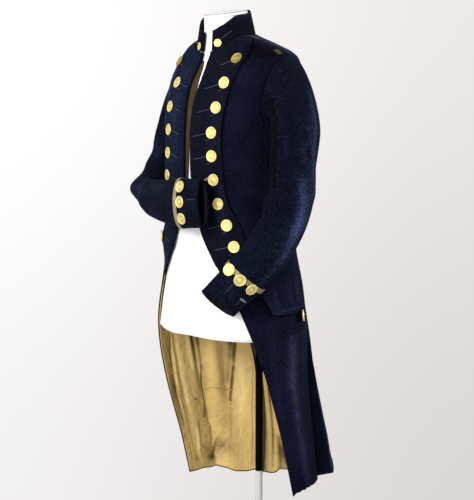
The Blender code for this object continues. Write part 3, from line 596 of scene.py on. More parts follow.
# Cells of the sleeves and linings
SLEEVE_SIDES = 56
SLEEVE_ANGLES = [360 * i / SLEEVE_SIDES for i in range(SLEEVE_SIDES)]
ALLOWANCE_DEPTH = 0.0036
ALLOWANCE_WALL = 0.0008
SLEEVE_RINGS = 64
CUFF_RINGS = 12
MOUTH_SLANT = 0.046     # share of the sleeve by which the left cuff's inner side is longer
MOUTH_ANGLE = 22        # where it's shortest
LINING_TOP = 0.91
LINING_ROWS = 126
LINING_SPLIT = 3
LINING_EASE = 0.003     # how far a lining hangs free of its panel
EDGE_ROUND = 0.00055    # rounding of a felted edge
LAPEL_ROUND = 0.0007
COLLAR_ROUND = 0.0009
LOOP_ROUND = 0.0004
BRAID_ROUND = 0.0003
LAPEL_LIFT = 0.0022
LAPEL_SHADE = 0.9       # painted shadow along a lapel's outer edge, on the front: strength, place in degrees, width
LAPEL_SHADE_AT = 1
LAPEL_DEGREE = 0.0029   # length of a degree there
LAPEL_SHADE_WIDTH = 0.0032

# Buttons, as in the solids
BUTTON_RADIUS = 0.0125
SMALL_RADIUS = 0.0085
BUTTON_HEIGHT = 0.003
BUTTON_PROFILE = ((0, 0.88), (0.16, 0.84), (0.27, 0.72), (0.34, 0.66), (0.58, 0.68), (0.78, 0.74),
                  (0.85, 0.82), (0.9, 0.98), (0.95, 0.98), (1, 0.74), (0.99, 0.36), (0.9, 0),
                  (0, 0))
BUTTON_STEPS = 44
BEADS = 30
BEAD_RING = 0.66        # share of the radius where the rope lies
LAPEL_BUTTON_COLUMNS = ("left", "right", "left_inset", "right_inset")
LAPEL_BUTTONS = (
    (1.42, 1.418, 11, 4), (1.354, 1.36, 7.2, 7.2), (1.297, 1.299, 7.4, 7.4),
    (1.239, 1.243, 8.3, 8.3), (1.186, 1.188, 8.6, 8.6), (1.135, 1.137, 8.8, 8.8),
    (1.085, 1.087, 8.6, 8.6), (1.041, 1.043, 8.6, 8), (0.996, 1, 9.2, 11),
)
CUFF_BUTTON_ANGLES = {1: (72, 33, -5), -1: (44, 5, -37)}
CUFF_BUTTON_INSET = {1: 0.01, -1: 0.0225}
COLLAR_BUTTON_ANGLES = {1: 29, -1: 16}
COLLAR_BUTTON_RISE = Vector((0, 0, 0.0112))
COLLAR_START = 14.6
COLLAR_END = 4.4
COLLAR_CELLS = 46
COLLAR_HEIGHT = 0.042
COLLAR_REAR = 0.006     # how much higher it stands at the back
FLAP_BUTTON = (104.5, 0.842)
FLAP_BUTTON_TURN = 22   # degrees that it leans to the rear, into the pleat
FLAP_DIP = 0.006
LOOP_CLIMBS = (1.475, 1.412)
LOOP_ANGLE = 84

# Buttonholes, in degrees round the body and metres of climb from their button
HOLE_START = 4.6
HOLE_ENDS = {1: 17.5, -1: 14.5}
HOLE_MARGIN = 1.6
HOLE_DROP = 0.0095
# Worn holes of the left front, drawn as black strips of painted shade: angle, climb, half width
FRONT_HOLES = ((86, 0.816, 0.0026), (81.8, 0.846, 0.0022), (67.1, 0.822, 0.0014),
               (65, 0.792, 0.0012))
# Holes of the cuffs: both ends by share and angle, and half width. The broad one is a pale bar.
CUFF_HOLES = {
    1: (((0.908, 35), (0.95, 30), 0.0009), ((0.925, 345), (0.967, 340), 0.0009),
        ((0.932, 350), (0.934, 322), 0.0024)),
    -1: (((0.942, 10), (0.992, 10), 0.0009),),
}
BRAID_RIBS = 95
RIBBON_CLEAR = 0.00012
RIBBON_STEP = 0.004
POLE_PAINT = 0.446      # height where the pole's pale paint ends

# The right front's facing: climbs, and how far it shows past the edge there in degrees
FACING_WIDTHS = ((1.1, 1.25, 1.34, 1.4, 1.46), (0.8, 2.8, 4.8, 4.2, 1.6))
FACING_ANGLE = 6.5      # from the front edge to the skirt facing's inner edge and its stitches
STITCH_ANGLE = 3.4

# Worn places and painted light, as creases are given: above 0 pale, where rubbed and where a
# highlight is painted; below 0 dark, for dark marks and for painted shade
BODY_WEAR_AND_PAINTED_LIGHT = {
    1: (
        # a painted highlight down the left skirt's soft ridge
        (93, 0.79, 95, 0.62, 0.8, 0.015), (95, 0.61, 96.5, 0.44, 0.5, 0.017),
        (80, 0.78, 78, 0.5, 0.12, 0.03), (74, 0.8, 76, 0.62, 0.16, 0.012),
        (33, 1.12, 30, 1.02, 0.25, 0.012), (28, 1.31, 27, 1.18, 0.15, 0.02),
        # painted shade over the shoulder and round the armhole, painted shadows under the flap's front
        # and lower edges and in a crease, and a painted highlight on the shoulder seam
        (60, 1.436, 90, 1.42, -1.6, 0.04), (66, 1.33, 70, 1.12, -0.9, 0.012),
        (78, 1.2, 80, 1.08, -1, 0.014), (79, 1.09, 71, 1.03, -0.8, 0.012),
        (64.6, 0.893, 74.6, 0.8485, -1.7, 0.003), (75, 0.848, 107, 0.858, -1.7, 0.003),
        (84, 0.817, 85.2, 0.797, -0.9, 0.0026), (68, 1.05, 74, 0.98, 0.18, 0.012),
        (62, 1.18, 64, 1.08, -0.5, 0.016), (58, 1.398, 74, 1.412, 0.45, 0.003),
        (112, 0.78, 117, 0.64, -1.1, 0.004),
    ),
    -1: (
        (14, 1.4, 12, 1.18, 0.3, 0.022), (20, 1.12, 24, 1.04, 0.25, 0.016),
        (60, 1.43, 76, 1.43, 0.25, 0.012), (70, 1.2, 66, 1.08, -0.4, 0.016),
    ),
}
SLEEVE_WEAR_AND_PAINTED_LIGHT = {
    # left sleeve: rubbed streaks, a painted highlight along its rear edge, two dark marks, and painted
    # shade at its top and along its front beside the body
    1: (
        (8, 0.43, -4, 0.66, 0.5, 0.009), (-16, 0.16, -36, 0.47, 0.5, 0.008),
        (-12, 0.12, -8, 0.42, 0.16, 0.022), (-14, 0.43, -20, 0.7, 0.28, 0.024),
        (8, 0.24, -2, 0.34, 0.25, 0.01), (20, 0.64, 30, 0.86, 0.1, 0.03),
        (-10, 0.5, -14, 0.72, 0.42, 0.01), (-20, 0.7, -20, 0.88, 0.35, 0.01),
        (62, 0.23, 54, 0.35, 0.26, 0.007), (20, 0.02, 30, 0.08, 0.2, 0.01),
        (10, 0.24, 6, 0.27, -1, 0.004), (-4, 0.3, -8, 0.33, -0.9, 0.004),
        (30, 0.02, 24, 0.15, -0.6, 0.026), (112, 0.05, 118, 0.42, -1.6, 0.028),
        (40, 0.89, 10, 0.98, 0.2, 0.03), (103, 0.11, 99, 0.45, -1.5, 0.018),
        (86, 0.4, 96, 0.54, -0.7, 0.01),
    ),
    -1: (
        (80, 0.283, 84, 0.31, 0.3, 0.014), (110, 0.333, 106, 0.37, 0.3, 0.012),
        (20, 0.567, 25, 0.68, 0.4, 0.012), (340, 0.817, 322, 0.808, -1.6, 0.006),
        (40, 0.72, 46, 0.84, 0.25, 0.012), (5, 0.48, 0, 0.54, 0.3, 0.014),
    ),
}
FLAP_CREASES = (
    (79.7, 0.936, 77.6, 0.906, -0.0022, 0.005), (77.6, 0.906, 79.7, 0.882, -0.002, 0.005),
    (79.7, 0.882, 86, 0.858, -0.0018, 0.005), (98, 0.925, 100, 0.872, 0.0016, 0.006),
    (90, 0.93, 91, 0.868, 0.0014, 0.008),
)
# pale marks along the flap's front, lower and rear edges and down some creases; dark ones under its top
# seam and down two other creases
FLAP_PALE_AND_DARK_MARKS = (
    (102, 0.925, 104, 0.872, 0.4, 0.0026), (98, 0.915, 100, 0.872, 0.2, 0.004),
    (77, 0.856, 106, 0.867, 0.4, 0.0022), (76, 0.912, 80.5, 0.866, 0.35, 0.0026),
    (89, 0.912, 92, 0.876, 0.28, 0.003), (76, 0.9195, 104, 0.928, -1.2, 0.0018),
    (66, 0.897, 75.5, 0.857, 0.3, 0.0022), (82, 0.905, 86, 0.87, -0.45, 0.004),
    (95, 0.905, 96, 0.872, -0.4, 0.0036),
)
# Stained spots and painted light of the linings, as creases are given: above 0 stained spots near the hem
# and painted shade in the hollows of the folds and beside their sharp edges; below 0 painted highlights
# on their ridges
LINING_STAINS_AND_SHADING = {
    -1: (
        (87.5, 0.446, 90, 0.442, 1.3, 0.01), (75.5, 0.453, 77, 0.45, 0.8, 0.006),
        (98, 0.48, 110, 0.474, 0.4, 0.018), (84, 0.462, 96, 0.458, 0.5, 0.014),
        (85.2, 0.593, 85.4, 0.591, 1.6, 0.0022), (135, 0.78, 128.5, 0.69, 1.2, 0.0085),
        (139.5, 0.76, 128.2, 0.662, 1.2, 0.0034), (128.8, 0.668, 119.2, 0.584, 1.15, 0.0032),
        (127, 0.69, 121, 0.63, 0.45, 0.006), (137, 0.69, 126, 0.56, -0.6, 0.012),
        (126, 0.76, 114, 0.6, 0.34, 0.016), (92, 0.474, 114, 0.478, 0.36, 0.024),
        (66.5, 0.75, 67.5, 0.5, 0.45, 0.006), (95, 0.76, 95.5, 0.69, 0.55, 0.008),
        (110, 0.56, 106, 0.5, 0.18, 0.02), (119, 0.584, 110, 0.44, 0.26, 0.003),
        (121, 0.56, 113, 0.45, -0.25, 0.012), (100.5, 0.77, 98.6, 0.668, 1, 0.0036),
        (98.6, 0.668, 88.6, 0.545, 0.9, 0.0026), (94, 0.76, 95, 0.68, 0.35, 0.009),
        (89.8, 0.75, 89, 0.67, -0.8, 0.006), (83.5, 0.54, 82, 0.5, 0.7, 0.002),
        (82, 0.5, 80, 0.468, 0.55, 0.002), (70, 0.76, 69, 0.66, 0.8, 0.003),
        (69, 0.66, 71.5, 0.54, 0.6, 0.003), (74, 0.75, 73.5, 0.62, -0.7, 0.004),
        (79, 0.77, 80, 0.6, -0.45, 0.014), (78, 0.6, 82, 0.45, -0.45, 0.016),
        (104, 0.77, 99, 0.62, 0.22, 0.01), (146.6, 0.69, 134.4, 0.558, 0.55, 0.0022),
        (134.4, 0.558, 127, 0.43, 0.4, 0.0022), (153, 0.64, 142, 0.435, 0.8, 0.003),
        (150.5, 0.5, 147.5, 0.425, 0.8, 0.006), (153.5, 0.475, 153.5, 0.43, 1.3, 0.006),
        (148, 0.626, 138, 0.43, -0.5, 0.006),
    ),
    1: (
        (100, 0.47, 104, 0.466, 0.5, 0.014), (152, 0.5, 154, 0.48, 0.4, 0.012),
        (156, 0.64, 157, 0.45, 0.7, 0.008), (146, 0.7, 146, 0.45, 0.9, 0.012),
    ),
}
# Angle and climb of a fold's upper and lower end, depth, and its spread on each side
LINING_STEPS = {
    -1: ((140, 0.78, 117, 0.56, 0.011, 0.0026, 0.045),
         (100, 0.78, 89, 0.54, 0.006, 0.0025, 0.022),
         (76, 0.8, 80, 0.56, 0.0024, 0.002, 0.012)),
    1: ((160, 0.78, 158, 0.43, 0.006, 0.003, 0.016),
        (148, 0.78, 150, 0.43, 0.005, 0.003, 0.014)),
}


def paint(piece, name, values):
    """Stores one number a point, which a material reads by its name."""
    layer = piece.data.attributes.new(name, "FLOAT", "POINT")
    layer.data.foreach_set("value", [float(value) for value in values])


def cloth(name, rows, side, wall, outer, slot, held, rests_on, inner=None, node=None,
          rounding=EDGE_ROUND, round_about=False, **painted):
    """A sheet of cloth with its wall, finish and body; painted holds its marks: rubbed and stained
    places, and painted light and shade.
    """
    piece = grid_object("cloth_" + name, rows, round_about, side < 0)
    for layer, values in painted.items():
        paint(piece, layer, values)
    thicken(piece, wall, outer, inner, rounding)
    finish_piece(piece, [node] if node else ())
    declare_cloth(rows, round_about)
    return piece


def panel_piece(side, panel, row_of, outer):
    """A front or a back with its skirt."""
    name = "%s_%s" % (panel, SIDE_NAMES[side])
    places = [row_of(side, climb) for climb in CLIMBS]
    rows = [[body_point(side, *place) for place in row] for row in places]
    cloth(name, rows, side, WALL, outer, "navy_wool", "hung", ["form"], INSIDE, name,
          wear=[wear_on_body(side, *place) for row in places for place in row])


def wear_on_body(side, angle, climb, _):
    """Rubbed and dark places of the felt, with painted light: above 0 pale, where rubbed and where a
    highlight is painted; below 0 dark, chiefly painted shade.
    """
    wear = crease_depth(BODY_WEAR_AND_PAINTED_LIGHT[side], angle, climb)
    # a painted shadow on the front along the lapel's outer edge
    if climb > LAPEL_FOOT:
        past = (angle - edge(SIDE_NAMES[side] + "_lapel", climb) - LAPEL_SHADE_AT) * LAPEL_DEGREE
        wear -= LAPEL_SHADE * exp(-(past / LAPEL_SHADE_WIDTH) ** 2)
    return wear


def lapel_piece(side):
    name = SIDE_NAMES[side]
    rows = []
    worn_and_painted_light = []
    for climb in CLIMBS:
        if LAPEL_FOOT <= climb:
            places = front_row(side, climb)[:LAPEL_CELLS + 1]
            rows.append([body_point(side, angle, min(high, NECK - 0.003),
                                    LAPEL_LAID_ON + WALL + lapel_lift(i, climb))
                         for i, (angle, high, _) in enumerate(places)])
            worn_and_painted_light += [crease_depth(BODY_WEAR_AND_PAINTED_LIGHT[side], *place[:2]) for place in places]
    cloth("lapel_" + name, rows, side, WALL, LAPEL_WOOL[side], "navy_wool", "laid",
          ["cloth_front_" + name], node="lapel_" + name, rounding=LAPEL_ROUND, wear=worn_and_painted_light)


def lapel_lift(cell, climb):
    """The lapel's outer edge stands a little off the front, unevenly."""
    share = cell / LAPEL_CELLS
    wave = 0.8 + 0.3 * sin(climb * 31) + 0.2 * sin(climb * 73 + 1)
    return LAPEL_LIFT * max(0, wave) * share ** 6


def finer(places, split):
    """Each cell of a row split into several."""
    made = [places[0]]
    for a, b in zip(places, places[1:]):
        made += [tuple(x + (y - x) * t for x, y in zip(a, b)) for t in share_list(0, 1, split)[1:]]
    return made


def step_depth(side, angle, climb):
    """Folds of the lining that lie over their neighbour with one sharp edge."""
    total = 0
    for angle_0, climb_0, angle_1, climb_1, depth, sharp, broad in LINING_STEPS[side]:
        share = (climb_0 - climb) / (climb_0 - climb_1)
        if -0.1 < share < 1:
            apart = (angle - angle_0 - (angle_1 - angle_0) * share) * LINING_DEGREE
            width = sharp if apart < 0 else broad
            total += depth * min(1, 1.6 * (1 - share)) * exp(-(apart / width) ** 2)
    return total


def lining_piece(side, panel, places_of):
    """A lining is its panel's points moved in, with loose folds towards the inside."""
    name = "%s_%s" % (panel, SIDE_NAMES[side])
    climbs = share_list(HEM, LINING_TOP, LINING_ROWS)
    low, high = climbs[0], climbs[-1]
    places = [finer(places_of(side, climb), LINING_SPLIT) for climb in climbs]
    count = len(places[0])
    rows = []
    stains = []
    for row_places, climb in zip(places, climbs):
        row = []
        for i, (angle, height, out) in enumerate(row_places):
            fade = min(1, 5 * i / count, 5 * (count - 1 - i) / count)
            fade *= min(1, (climb - low) / 0.03 + 0.15, (high - climb) / 0.02 + 0.1)
            creases = crease_depth(LINING_CREASES[side], angle, climb, LINING_DEGREE)
            loose = fade * (LINING_EASE + creases + step_depth(side, angle, climb))
            row.append(body_point(side, angle, height,
                                  out - WALL - LINING_LAID_ON - max(loose, 0)))
            if 0 < i < count - 1:
                stains.append(crease_depth(LINING_STAINS_AND_SHADING[side], angle, climb, LINING_DEGREE))
        rows.append(row[1:-1])
    rows[0] = [a.lerp(b, 0.95) for a, b in zip(rows[0], rows[1])]
    cloth("lining_" + name, rows, side, LINING_WALL, BUFF, "buff_lining", "hung",
          ["cloth_" + name], node="lining_" + name, rounding=0, stain=stains)


def collar_piece():
    places = [(1, a) for a in share_list(COLLAR_START, 180, COLLAR_CELLS)]
    places += [(-1, a) for a in share_list(180, COLLAR_END, COLLAR_CELLS)[1:]]
    shares = share_list(0, 1, 8)
    rows = []
    for share in shares:
        row = []
        for number, (side, angle) in enumerate(places):
            foot = body_point(side, angle, NECK, creased=False)
            rear = (1 - cos(radians(angle))) / 2
            lean = 1 - 0.1 * share - 0.05 * share * rear
            bow = 1 + 0.01 * share * sin(number * 0.37)
            y = (foot.y - NECK_CENTRE) * lean + NECK_CENTRE - 0.002 * share
            z = foot.z + COLLAR_RISE + share * (COLLAR_HEIGHT + COLLAR_REAR * rear)
            z += share * (0.0007 * sin(number * 0.53) + 0.0004 * sin(number * 1.31 + 1))
            row.append(Vector((foot.x * lean * bow, y * bow, z)))
        rows.append(row)
    worn_and_painted_light = [0.35 * share ** 6 - (0.9 if side < 0 and angle < 70 else 0)
            for share in shares for side, angle in places]
    cloth("collar", rows, 1, COLLAR_WALL, COLLAR_WOOL, "navy_wool", "stretched",
          ["cloth_front_left", "cloth_front_right"], COLLAR_INSIDE, "collar", COLLAR_ROUND, wear=worn_and_painted_light)


STEP_CACHE = {}


def sleeve_step(side, share):
    """Centre, frame and half sizes of the sleeve at a share of its length."""
    key = (side, round(share, 6))
    if key in STEP_CACHE:
        return STEP_CACHE[key]
    table, keys = SLEEVES[side]
    total = keys[-1]

    def centre(s):
        return Vector([read(keys, table[axis], s) for axis in "xyz"])

    s = min(share, 1) * total
    along = (centre(min(s + 0.004, total)) - centre(max(s - 0.004, 0))).normalized()
    turn = radians(read(keys, table["turn"], s))
    outer = Vector((side * cos(turn), -sin(turn), 0))
    outer = (outer - along * outer.dot(along)).normalized()
    fore = along.cross(outer) * side
    middle = centre(s) + along * max(share - 1, 0) * total
    STEP_CACHE[key] = (share, middle, outer, fore, read(keys, table["side_half"], s),
                       read(keys, table["front_half"], s))
    return STEP_CACHE[key]


def cuff_share(side, distance):
    return 1 - (CUFF_LENGTH - distance) / SLEEVES[side][1][-1]


def fold_depth(side, share, angle):
    depth = 0
    for at, turn, deep, wide, spread in SLEEVE_FOLDS[side]:
        apart = (angle - turn + 180) % 360 - 180
        depth += deep * exp(-((share - at) / wide) ** 2 - (apart / spread) ** 2)
    return depth


def around(table, share, angle):
    """The creases of a sleeve, whose angles may run past a full turn."""
    unit = radians(1) * SLEEVE_RADIUS
    return sum(crease_depth(table, angle + turn, share, unit, SLEEVE_RUN)
               for turn in (-360, 0, 360))


def sleeve_point(side, share, angle, out=0):
    """A point of the sleeve's outer face moved out, and the way out there."""
    low = cuff_share(side, 0)
    if side > 0 and share > low:
        slant = 0.5 - 0.5 * cos(radians(angle - MOUTH_ANGLE))
        share += MOUTH_SLANT * slant * ((share - low) / (1 - low)) ** 1.5
    share_here, centre, outer, fore, side_half, front_half = sleeve_step(side, share)
    ease = min(share_here / HEAD_SHARE, 1)
    ease = ease * ease * (3 - 2 * ease)
    c, s = cos(radians(angle)), sin(radians(angle))
    tube = centre + outer * side_half * c + fore * front_half * s
    facing = (outer * c / side_half + fore * s / front_half).normalized()
    depth = fold_depth(side, share, angle) + around(SLEEVE_CREASES[side], share, angle)
    tube += facing * (out + depth)
    turn = ARM_ANGLE - (ARM_HALF_ANGLE - HEAD_INSET_ANGLE) * s
    head = body_point(side, turn, ARM_MIDDLE + (ARM_HALF - HEAD_INSET) * c)
    return head.lerp(tube, ease), facing


def sleeve_pieces(side):
    name = SIDE_NAMES[side]
    start = cuff_share(side, 0)

    def tube(kind, shares, out, *finish, **more):
        rows = [[sleeve_point(side, share, angle, out)[0] for angle in SLEEVE_ANGLES]
                for share in shares]
        return cloth(kind + name, rows, side, *finish, node=kind + name, round_about=True, **more)

    def wool_tube(kind, shares, out, held, rests_on):
        worn_and_painted_light = [around(SLEEVE_WEAR_AND_PAINTED_LIGHT[side], share, angle) for share in shares for angle in SLEEVE_ANGLES]
        return tube(kind, shares, out, WALL, SLEEVE_WOOL[side], "navy_wool", held, rests_on,
                    inner=DARK_INSIDE, wear=worn_and_painted_light)

    cuff_shares = share_list(start, 1, CUFF_RINGS)
    sleeve = wool_tube("sleeve_", share_list(0, start, SLEEVE_RINGS) + cuff_shares[1:], 0, "hung",
                       ["cloth_front_" + name, "cloth_back_" + name])
    cuff = wool_tube("cuff_", cuff_shares, LAID_ON + WALL, "laid", [sleeve])
    tube("braid_", share_list(start, cuff_share(side, BRAID_WIDTH), 4),
         2 * LAID_ON + WALL + BRAID_WALL, BRAID_WALL, GOLD_BRAID, "gold_braid", "laid", [cuff],
         rounding=BRAID_ROUND)


def armhole_seam(side):
    """The seam allowances turned back inside the armhole, so that its seam is closed."""
    name = SIDE_NAMES[side]
    rows = []
    for grow in (0.004, 0.0014, -0.0012, -0.0038):
        half_angle, half = ARM_HALF_ANGLE + grow * ARM_GROWTH, ARM_HALF + grow
        rows.append([body_point(side, ARM_ANGLE - half_angle * sin(turn),
                                ARM_MIDDLE + half * cos(turn), -ALLOWANCE_DEPTH)
                     for turn in map(radians, SLEEVE_ANGLES)])
    cloth("armhole_" + name, rows, side, ALLOWANCE_WALL, DARK_INSIDE, "navy_wool", "folded",
          ["cloth_sleeve_" + name], rounding=0, round_about=True)


def hoop(name, points, radius):
    """A thin round edge along a closed path on the form."""
    up = Vector((0, 0, radius))
    rows = []
    for i, point in enumerate(points):
        along = (points[(i + 1) % len(points)] - points[i - 1]).normalized()
        across = along.cross(up).normalized() * radius
        rows.append([point + across * cos(radians(turn)) + up * sin(radians(turn))
                     for turn in range(0, 360, 45)])
    piece = grid_object(name, rows + rows[:1], round_about=True)
    piece.data.materials.append(EDGE_GREY)
    finish_piece(piece)


def neck_edges():
    """The edge of the form's flat top, and the faint line of its cap."""
    for name, below, share, radius in NECK_HOOPS:
        points = []
        for turn in map(radians, range(0, 360, 5)):
            y = -NECK_SIZES["front" if cos(turn) > 0 else "back"] * cos(turn) * share
            points.append(Vector((NECK_SIZES["half_width"] * sin(turn) * share, NECK_CENTRE + y,
                                  FORM_TOP - below + NECK_SLOPE * y)))
        hoop(name, points, radius)


def sheets(*names):
    """The faces of cloth already made, to seat other pieces on."""
    made = []
    for name in names:
        mesh = bpy.data.objects[name].data
        made.append(BVHTree.FromPolygons([v.co for v in mesh.vertices],
                                         [tuple(f.vertices) for f in mesh.polygons]))
    return made


def height_over(carriers, point, axis):
    hits = [tree.ray_cast(point + axis * SEAT_REACH, -axis, 2 * SEAT_REACH)[3] for tree in carriers]
    found = [SEAT_REACH - far for far in hits if far is not None]
    return max(found) if found else None


def ray(side, place):
    """A point of the body's plain cloth, and the way out there."""
    return body_point(side, *place), outward(side, *place)


def seat(carriers, point, axis, radius):
    """The point moved along the axis until a flat disc just clears what carries it."""
    across = axis.orthogonal().normalized()
    other = axis.cross(across)
    heights = []
    for share in (0, 0.25, 0.5, 0.75, 1):
        for i in range(24):
            turn = radians(15 * i)
            sample = point + (across * cos(turn) + other * sin(turn)) * radius * share
            heights.append(height_over(carriers, sample, axis))
    return point + axis * (max(h for h in heights if h is not None) + SEATED)


def laid_rows(carriers, places, side, thickness, level=False):
    rays = [[ray(side, place) for place in row] for row in places]
    heights = [[height_over(carriers, *start) or 0 for start in row] for row in rays]
    if level:
        heights = [[max(max(row) for row in heights)] * len(row) for row in heights]
    return [[point + axis * (height + SEATED + thickness)
             for (point, axis), height in zip(*pair)] for pair in zip(rays, heights)]


def flap_piece(side):
    name = SIDE_NAMES[side]
    front_low, front_top, rear_low, rear_top = map(Vector, FLAP_CORNERS)
    places = []
    for v in share_list(0, 1, FLAP_ROWS):
        front, rear = front_low.lerp(front_top, v), rear_low.lerp(rear_top, v)
        row = []
        for u in share_list(0, 1, FLAP_CELLS):
            angle, climb = front.lerp(rear, u)
            row.append((angle, climb - FLAP_DIP * sin(pi * u) * (1 - v)))
        places.append(row)
    rows = laid_rows(sheets("cloth_front_" + name), places, side, WALL)
    for j, row in enumerate(rows):
        free = (1 - j / FLAP_ROWS) ** 2
        for i, point in enumerate(row):
            depth = crease_depth(FLAP_CREASES, *places[j][i])
            lift = free * (FLAP_LIFT + 0.0016 * sin(i * 0.33 + 0.6)) * (1 - 0.45 * i / FLAP_CELLS)
            row[i] = point + outward(side, *places[j][i]) * max(lift + depth, 0)
    cloth("flap_" + name, rows, side, WALL, FLAP_WOOL, "navy_wool", "laid", ["cloth_front_" + name],
          node="flap_" + name, rounding=LAPEL_ROUND,
          wear=[crease_depth(FLAP_PALE_AND_DARK_MARKS, *place) for row in places for place in row])


def button_mesh(name, radius, finishes):
    """A gilt disc with a raised rim, a ring of rope and a low boss."""
    height = BUTTON_HEIGHT * radius / BUTTON_RADIUS
    work = bmesh.new()
    points = [work.verts.new((share * radius, 0, rise * height)) for share, rise in BUTTON_PROFILE]
    edges = [work.edges.new(pair) for pair in zip(points, points[1:])]
    bmesh.ops.spin(work, geom=points + edges, axis=(0, 0, 1), cent=(0, 0, 0), angle=2 * pi,
                   steps=BUTTON_STEPS, use_merge=True)
    bmesh.ops.remove_doubles(work, verts=work.verts, dist=0.00001)
    bmesh.ops.recalc_face_normals(work, faces=work.faces)
    for face in work.faces:
        reach = face.calc_center_median().xy.length / radius
        face.material_index = 1 if 0.3 < reach < 0.84 else 0
    for i in range(BEADS):
        turn = 2 * pi * i / BEADS
        place = Vector((cos(turn), sin(turn), 0)) * radius * BEAD_RING
        place.z = height * 0.74
        bead = Matrix.Translation(place) @ Matrix.Rotation(turn + 0.7, 4, "Z")
        size = Matrix.Diagonal((radius * 0.085, radius * 0.055, height * 0.16, 1))
        bmesh.ops.create_icosphere(work, subdivisions=1, radius=1, matrix=bead @ size)
    mesh = mesh_of(work, name)
    for finish in finishes:
        mesh.materials.append(finish)
    return mesh


def put_button(node, mesh, carriers, place, axis, radius=BUTTON_RADIUS):
    made = new_object("gilt_" + node, mesh)
    turn = Vector((0, 0, 1)).rotation_difference(axis).to_matrix().to_4x4()
    made.matrix_world = Matrix.Translation(seat(carriers, place, axis, radius)) @ turn
    finish_piece(made, [node])


def lapel_button_place(side, number):
    """Angle and climb of a lapel's button, from the top."""
    name = SIDE_NAMES[side]
    row = dict(zip(LAPEL_BUTTON_COLUMNS, LAPEL_BUTTONS[number - 1]))
    climb = row[name]
    angle = edge(name + "_lapel", climb - 0.8 * lapel_slant(climb)) - row[name + "_inset"]
    return angle, climb


def buttons(side):
    name = SIDE_NAMES[side]
    pale, old = LARGE_BUTTONS
    on_lapel = sheets("cloth_lapel_" + name, "cloth_front_" + name)
    for number in range(1, len(LAPEL_BUTTONS) + 1):
        put_button("lapel_button_%s_%d" % (name, number), old if number == 1 else pale, on_lapel,
                   *ray(side, lapel_button_place(side, number)))
    on_flap = sheets("cloth_front_" + name, "cloth_flap_" + name, "cloth_back_" + name)
    angle, climb = FLAP_BUTTON
    put_button("flap_button_" + name, pale, on_flap, body_point(side, angle, climb),
               outward(side, angle + FLAP_BUTTON_TURN, climb))
    _, centre, outer, fore, side_half, front_half = sleeve_step(
        side, cuff_share(side, CUFF_BUTTON_INSET[side]))
    on_cuff = sheets("cloth_braid_" + name, "cloth_cuff_" + name)
    for number, angle in enumerate(CUFF_BUTTON_ANGLES[side], 1):
        c, s = cos(radians(angle)), sin(radians(angle))
        put_button("cuff_button_%s_%d" % (name, number), pale, on_cuff,
                   centre + outer * side_half * c + fore * front_half * s,
                   (outer * c * front_half + fore * s * side_half).normalized())
    foot, axis = collar_foot(side, COLLAR_BUTTON_ANGLES[side])
    put_button("collar_button_" + name, SMALL_BUTTON, sheets("cloth_collar"),
               foot + COLLAR_BUTTON_RISE, (axis + Vector((0, 0, 0.12))).normalized(), SMALL_RADIUS)


def collar_foot(side, angle):
    """A point at the collar's foot, and the level way out there."""
    foot = body_point(side, angle, NECK, creased=False)
    return foot, Vector((foot.x, foot.y - NECK_CENTRE, 0)).normalized()


def shoulder_loop(side, number, climb):
    name = SIDE_NAMES[side]
    label = "loop_%s_%d" % (name, number)
    places = [[(LOOP_ANGLE + turn, climb + rise) for turn in (-3, -1.5, 0, 1.5, 3)]
              for rise in (-0.009, -0.006, -0.003, 0, 0.003, 0.006, 0.009)]
    rows = laid_rows(sheets("cloth_front_" + name, "cloth_lapel_" + name), places, side,
                     LOOP_WALL, level=True)
    cloth(label, rows, side, LOOP_WALL, DULL_BRAID, "gold_braid", "laid", ["cloth_front_" + name],
          node="shoulder_" + label, rounding=LOOP_ROUND)


def ribbon(name, rays, half_width, height, finish, carriers, slot="navy_wool", taper=0.35):
    """A low rounded strip along a path on the cloth, such as a worked buttonhole."""
    points = [point + axis * (height_over(carriers, point, axis) or 0) for point, axis in rays]
    work = bmesh.new()
    rings = []
    last = len(points) - 1
    for i, (point, (_, axis)) in enumerate(zip(points, rays)):
        along = (points[min(i + 1, last)] - points[max(i - 1, 0)]).normalized()
        across = axis.cross(along).normalized() * half_width * (1 if 0 < i < last else taper)
        ring = []
        for turn in map(radians, (0, 40, 90, 140, 180, 270)):
            deep = height * sin(turn) * (1 if sin(turn) > 0 else 0.25)
            ring.append(work.verts.new(point + axis * (RIBBON_CLEAR + 0.25 * height + deep)
                                       + across * cos(turn)))
        rings.append(ring)
    for a, b in zip(rings, rings[1:]):
        for k in range(len(a)):
            j = (k + 1) % len(a)
            work.faces.new((a[k], a[j], b[j], b[k]))
    work.faces.new(rings[0][::-1])
    work.faces.new(rings[-1])
    bmesh.ops.recalc_face_normals(work, faces=work.faces)
    mesh = mesh_of(work, name)
    mesh.materials.append(finish)
    finish_piece(new_object(name, mesh))


def body_strip(name, side, start, end, *more, **options):
    """start and end are an angle and a climb."""
    run = hypot((end[0] - start[0]) * LINING_DEGREE, end[1] - start[1])
    steps = max(6, round(run / RIBBON_STEP))
    places = zip(share_list(start[0], end[0], steps), share_list(start[1], end[1], steps))
    ribbon(name, [ray(side, place) for place in places], *more, **options)


def sleeve_strip(name, side, start, end, *more):
    """start and end are a share of the length and an angle."""
    places = zip(share_list(start[0], end[0], 8), share_list(start[1], end[1], 8))
    ribbon(name, [sleeve_point(side, *place) for place in places], *more)


def buttonholes(side):
    """Worked holes that run from each lapel button towards the front edge."""
    name = SIDE_NAMES[side]
    carriers = sheets("cloth_lapel_" + name, "cloth_front_" + name)
    for number in range(1, len(LAPEL_BUTTONS) + 1):
        angle, climb = lapel_button_place(side, number)
        stop = max(edge(name + "_edge", climb) + HOLE_MARGIN, angle - HOLE_ENDS[side])
        body_strip("hole_lapel_%s_%d" % (name, number), side, (angle - HOLE_START, climb - 0.001),
                   (stop, climb - HOLE_DROP), 0.0011, 0.0009, THREAD, carriers)
        body_strip("hole_end_%s_%d" % (name, number), side, (angle - 1, climb - 0.0155),
                   (angle - 5, climb - 0.0185), 0.0008, 0.0006, THREAD, carriers)


